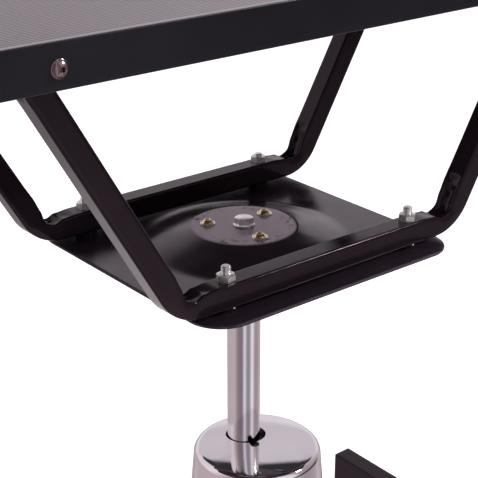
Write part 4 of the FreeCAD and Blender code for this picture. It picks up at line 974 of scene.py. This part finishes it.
def base_nuts():
    """Nuts of the pump plate's bolts, which stand upright, and of the side beams' bolts."""
    for low, high, mid in solids("base_nuts"):
        height = min(high - low)
        if abs((high - low).z - height) < 0.1 * MM:
            place = standing(mid.x, mid.y, low.z)
        else:
            side, outer = outer_end(low, high, 0)
            place = facing((outer, mid.y, mid.z), -X_AXIS * side)
        yield hex_shell(M8, height, M8 / 2 * 0.92), place


piece("side_bolts", side_bolts(), "base", "zinc", "beam_bolts")
piece("beam_nuts", base_nuts(), "base", "zinc", "base_nuts")


def feet():
    """Rubber pads with a shallow groove round the middle and a ribbed sole."""
    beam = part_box("side_beam_left")[0].z
    for low, high, mid in solids("rubber_feet"):
        r = (high.x - low.x) / 2
        stations = [(0.0, 0.0)]
        for rib in (0.30, 0.60):
            stations += [((rib + share) * r, depth * MM) for share, depth in
                         ((0.0, 0.0), (0.04, 0.6), (0.14, 0.6), (0.18, 0.0))]
        stations += arc(r - 1.5 * MM, 1.5 * MM, 1.5 * MM, -90, 0, 5)
        stations += [(r, 4.2 * MM), (r - 0.8 * MM, 5 * MM), (r - 0.8 * MM, 6 * MM), (r, 6.8 * MM)]
        stations += arc(r - 1 * MM, beam - 1 * MM, 1 * MM, 0, 90, 4)
        stations += [(5 * MM, beam), (5 * MM, beam + 2 * MM), (6.5 * MM, beam + 2 * MM),
                     (4.5 * MM, high.z), (0.0, high.z)]
        yield polar(stations, 64), standing(mid.x, mid.y, 0)


piece("pad_feet", feet(), "base", "foot_rubber", "rubber_feet")


def beam_caps():
    thick = 2.5 * MM
    low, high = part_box("side_beam_left")
    cap = slab((high.x - low.x) / 2, (high.z - low.z) / 2, 2.5 * MM, 0, thick, 1.0 * MM)
    for low, high, mid in solids("beam_end_caps"):
        side, outer = outer_end(low, high, 1)
        place = Matrix.Translation((mid.x, outer - side * thick, mid.z))
        yield cap, place @ Matrix.Rotation(-side * math.pi / 2, 4, "X")


piece("beam_caps", beam_caps(), "base", "black_plastic", "beam_end_caps")


def flat_plate(name, node, body, corner, edge, corner_steps):
    low, high, mid = whole(node)
    plate = slab(high.x, (high.y - low.y) / 2, corner, low.z, high.z, edge, 0, mid.y, corner_steps)
    piece(name, [plate], body, "black_coat", node)


flat_plate("pump_base_plate", "pump_plate", "base", 12 * MM, 0.8 * MM, 10)


def weld_bead(half_y, half_z, radius):
    """Rippled fillet round a beam's end, in the YZ plane about the origin."""
    path = rounded_rectangle(half_y, half_z, 2.5 * MM)
    dense = []
    for start, end in zip(path, path[1:] + path[:1]):
        dense += between(start, end, max(1, int(math.dist(start, end) / (0.8 * MM))))
    rings, walked = [], 0.0
    for i, (y, z) in enumerate(dense):
        before, after = dense[i - 1], dense[(i + 1) % len(dense)]
        walked += math.dist(before, (y, z))
        tangent = Vector((0, after[0] - before[0], after[1] - before[1])).normalized()
        swell = radius * (1 + 0.16 * abs(math.sin(math.pi * walked / (2.6 * MM))))
        rings.append(hoop(Vector((0, y, z)), tangent.cross(X_AXIS), X_AXIS, swell, 8))
    return skin(rings, loop=True)


def welds():
    bead = weld_bead(15 * MM, 25 * MM - 2.2 * MM, 1.9 * MM)
    for node in ("cross_beam_front", "cross_beam_rear"):
        low, high, mid = whole(node)
        for side in SIDES:
            yield bead, Matrix.Translation((side * (high.x - 5 * MM), mid.y, mid.z))


piece("weld_beads", welds(), "base", "black_coat", sharp=70)


# ---- pump works and pedal ----
def spring(name, node, joint, wire, mean_d, working_turns):
    """Spring coiled from the foot to the top of its node; its joint's stroke is read but not used, so nothing
    squashes it.
    """
    low, high, mid = whole(node)
    shell = coil(wire, mean_d, low.z, high.z, working_turns, mid.y)
    made = piece(name, [shell], "base", "spring_steel", node, sharp=80)
    stroke = max(abs(v) for v in next(j for j in frame["joints"] if j["name"] == joint)["range_m"])
    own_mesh(made)


spring("plunger_coil", "plunger_spring", "plunger_lift", 1.6 * MM, 14.6 * MM, 4)
spring("release_coil", "release_spring", "release_push", 1.1 * MM, 10.4 * MM, 3)


def pedal_lever():
    """Cranked lever with rounded edges; its outline lies in the YZ plane."""
    low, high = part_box("pedal_lever")
    half_h, arm_t, cut = 9 * MM, 12 * MM, 2 * MM
    pivot, arm_low = low.z + half_h, high.z - arm_t
    crank_start, crank_end, crank_top = -112 * MM, -218 * MM, -222 * MM
    outline = arc(high.y - half_h, pivot, half_h, -90, 90, 16)
    outline += [(crank_start, pivot + half_h), (crank_top, high.z), (low.y + cut, high.z),
                (low.y, high.z - cut), (low.y, arm_low + cut), (low.y + cut, arm_low),
                (crank_end, arm_low), (crank_start, low.z)]
    place = Matrix(((0, 0, 1, low.x), (1, 0, 0, 0), (0, 1, 0, 0), (0, 0, 0, 1)))
    return bevelled_prism(outline, high.x - low.x, 1.0 * MM), place


piece("pedal_arm", [pedal_lever()], "pedal", "black_coat", "pedal_lever")


def pedal_tread():
    """Rubber tread with rounded bars across it."""
    low, high, mid = whole("pedal_tread")
    half_x, half_y = high.x, (high.y - low.y) / 2
    base_top, margin, bars = high.z - 2.5 * MM, 4 * MM, 6
    yield slab(half_x, half_y, 10 * MM, low.z, base_top, 0.8 * MM, 0, mid.y, 8)
    pitch = (2 * half_y - 2 * margin) / bars
    for i in range(bars):
        y = low.y + margin + pitch * (i + 0.5)
        inset = 6 * MM if i in (0, bars - 1) else 2 * MM
        yield slab(half_x - inset, pitch * 0.32, pitch * 0.31, base_top - 0.5 * MM, high.z,
                   0.9 * MM, 0, y)


piece("rubber_tread", pedal_tread(), "pedal", "foot_rubber", "pedal_tread")
flat_plate("pedal_foot_plate", "pedal_plate", "pedal", 10 * MM, 0.7 * MM, 8)


COVER_WALL_DROP = 12.7 * MM             # from the cover's top to where its straight wall begins


def cover_screws():
    wall_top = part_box("pump_cover")[1].z - COVER_WALL_DROP
    for low, high, mid in solids("cover_screws"):
        out = Vector((mid.x, mid.y - COVER_AXIS_Y, 0)).normalized()
        wall = COVER_FLAT_R + COVER_EDGE_R + COVER_TAPER * (wall_top - mid.z)
        seat = Vector((0, COVER_AXIS_Y, mid.z)) + out * (wall + 0.4 * MM)
        head = domed_head(5 * MM, 2.7 * MM, cross_recess(2.6 * MM, 0.55 * MM), 1.4 * MM, 0.4, 64)
        yield head, facing(seat, out, 0.5)
        yield threaded(M5, PITCH[M5], 12 * MM), facing(seat, -out)


piece("cover_head_screws", cover_screws(), "base", "zinc", "cover_screws")


# ---- what is carried over from the frame ----
# The nodes with no piece of their own get the look of their slot.
for part in frame["record"]["subparts"]:
    materials = frame["nodes"][part["node"]].data.materials
    materials.clear()
    materials.append(LOOKS[part["material_slot"]].material)


# ---- stage, lights and camera ----
VIEW_FROM = Vector((-0.8047, -0.9799, 1.1386))
VIEW_TILT, VIEW_TURN = math.radians(90 - 22.63), math.radians(-39.15)
VIEW_LENS, VIEW_SENSOR = 93.90, 36.0


def make_floor():
    bpy.ops.mesh.primitive_plane_add(size=60)
    floor = bpy.context.active_object
    floor.name = "floor"
    look = Look("pale_floor", (0.86, 0.85, 0.855), 0.7, 0.0,
                Emission_Color=(1, 1, 1, 1), Emission_Strength=0.6)
    clouds = ((0.2, (0.85, 0.84, 0.845)), (0.8, (0.87, 0.86, 0.865)))
    look.put("Base Color", look.ramp(look.noise(0.8, 2), clouds))
    floor.data.materials.append(look.material)
    floor.visible_glossy = False


# Panels of the studio and the gaps between them, seen in reflections only: (degrees to the right of
# the camera's direction, colour).
STUDIO = [
    (-180, (1.00, 0.96, 0.98)), (-130, (0.53, 0.45, 0.48)), (-76, (0.58, 0.48, 0.52)),
    (-60, (0.55, 0.45, 0.48)), (-48, (0.36, 0.29, 0.32)), (-36, (0.28, 0.22, 0.25)),
    (-12, (0.24, 0.19, 0.23)), (-4, (0.42, 0.40, 0.47)), (3, (0.76, 0.76, 0.88)),
    (12, (0.74, 0.73, 0.84)), (20, (0.38, 0.34, 0.40)), (36, (0.32, 0.27, 0.30)),
    (47, (0.50, 0.45, 0.50)), (56, (0.90, 0.86, 0.91)), (67, (0.88, 0.83, 0.88)),
    (78, (0.48, 0.41, 0.46)), (92, (0.37, 0.31, 0.34)), (120, (0.44, 0.38, 0.41)),
    (180, (1.00, 0.96, 0.98)),
]
# The same above the horizon, with a wide bright panel at the far left.
STUDIO_ABOVE = [(-180, (0.80, 0.75, 0.79)), (-118, (0.80, 0.74, 0.78)), (-88, (0.95, 0.86, 0.90)),
                *STUDIO[3:]]
DIM_CENTRE, DIM_NEAR, DIM_FAR = math.radians(80), math.radians(36), math.radians(52)
# The wall behind the table, by the sine of the elevation plus one, halved.
BACK_WALL = [
    (0.0, (0.08, 0.07, 0.08)), (0.05, (0.12, 0.10, 0.11)), (0.12, (1.35, 1.18, 1.24)),
    (0.19, (0.95, 0.86, 0.90)), (0.225, (0.46, 0.40, 0.43)), (0.46, (0.46, 0.40, 0.43)),
    (0.54, (0.70, 0.64, 0.68)), (0.58, (0.85, 0.79, 0.84)), (0.70, (0.85, 0.79, 0.84)),
    (0.72, (0.66, 0.60, 0.66)), (0.802, (0.66, 0.60, 0.66)), (0.812, (0.03, 0.03, 0.035)),
    (1.0, (0.06, 0.05, 0.06)),
]
WALL_EDGE = (math.radians(134), math.radians(148))      # it fades in this far round from the view
DIM_HEIGHT = (math.sin(math.radians(12)), math.sin(math.radians(21)))
DIM_DEPTH = 0.8
ABOVE_FROM = math.sin(math.radians(8))


def make_world():
    """Pale studio: panels and gaps all round, dim low at the right, a wall behind the table."""
    world = bpy.data.worlds.new("studio")
    bpy.context.scene.world = world
    sky = Graph(world)
    sky.nodes.clear()
    direction = sky.node("ShaderNodeTexCoord").outputs["Generated"]
    to_camera = (math.sin(VIEW_TURN), -math.cos(VIEW_TURN), 0)
    to_right = (math.cos(VIEW_TURN), math.sin(VIEW_TURN), 0)
    ahead, right = (sky.vector("DOT_PRODUCT", direction, way).outputs["Value"]
                    for way in (to_camera, to_right))
    angle = sky.math("ARCTAN2", right, ahead)
    height = sky.node("ShaderNodeSeparateXYZ", direction).outputs[2]
    round_share = sky.step(angle, -math.pi, math.pi)
    panels, above = (sky.ramp(round_share, [((a + 180) / 360, colour) for a, colour in stops])
                     for stops in (STUDIO, STUDIO_ABOVE))
    wall = sky.ramp(sky.step(height, -1.0, 1.0), BACK_WALL)
    behind = sky.step(sky.math("ABSOLUTE", angle), *WALL_EDGE)
    low_share = sky.step(sky.math("ABSOLUTE", height), *DIM_HEIGHT, DIM_DEPTH, 0.0)
    from_centre = sky.math("ABSOLUTE", sky.math("SUBTRACT", angle, DIM_CENTRE))
    near_share = sky.step(from_centre, DIM_NEAR, DIM_FAR, 1.0, 0.0)
    left_over = sky.math("SUBTRACT", 1.0, sky.math("MULTIPLY", low_share, near_share))
    lit_panels = sky.vector("SCALE", panels)
    sky.feed(lit_panels.inputs["Scale"], left_over)
    upper = sky.step(height, 0.0, ABOVE_FROM)
    sides = sky.mix(upper, lit_panels.outputs[0], above)
    studio = sky.node("ShaderNodeBackground", sky.mix(behind, sides, wall))
    backdrop = sky.node("ShaderNodeBackground", (1.0, 0.99, 0.995, 1.0))
    seen = sky.node("ShaderNodeLightPath").outputs["Is Camera Ray"]
    both = sky.node("ShaderNodeMixShader", seen, studio.outputs[0], backdrop.outputs[0])
    output = sky.node("ShaderNodeOutputWorld")
    sky.feed(output.inputs["Surface"], both.outputs[0])


def softbox(name, place, target, size, power):
    light = bpy.data.lights.new(name, "AREA")
    light.shape = "RECTANGLE"
    light.size, light.size_y = size
    light.energy = power
    aim = (Vector(target) - Vector(place)).to_track_quat("-Z", "Y").to_euler()
    return put_in_scene(name, light, place, aim)


def make_camera():
    data = bpy.data.cameras.new("camera")
    data.lens, data.sensor_width = VIEW_LENS, VIEW_SENSOR
    data.clip_start, data.clip_end = 0.01, 100
    bpy.context.scene.camera = put_in_scene("camera", data, VIEW_FROM, (VIEW_TILT, 0, VIEW_TURN))


make_floor()
make_world()
softbox("left_softbox", (-2.2, -1.6, 2.6), (0, 0, 0.7), (1.2, 1.2), 35).visible_glossy = False
softbox("right_softbox", (2.0, -1.35, 2.75), (0, 0, 0.6), (0.3, 0.45), 75)
make_camera()
bpy.context.scene.view_settings.view_transform = "Standard"
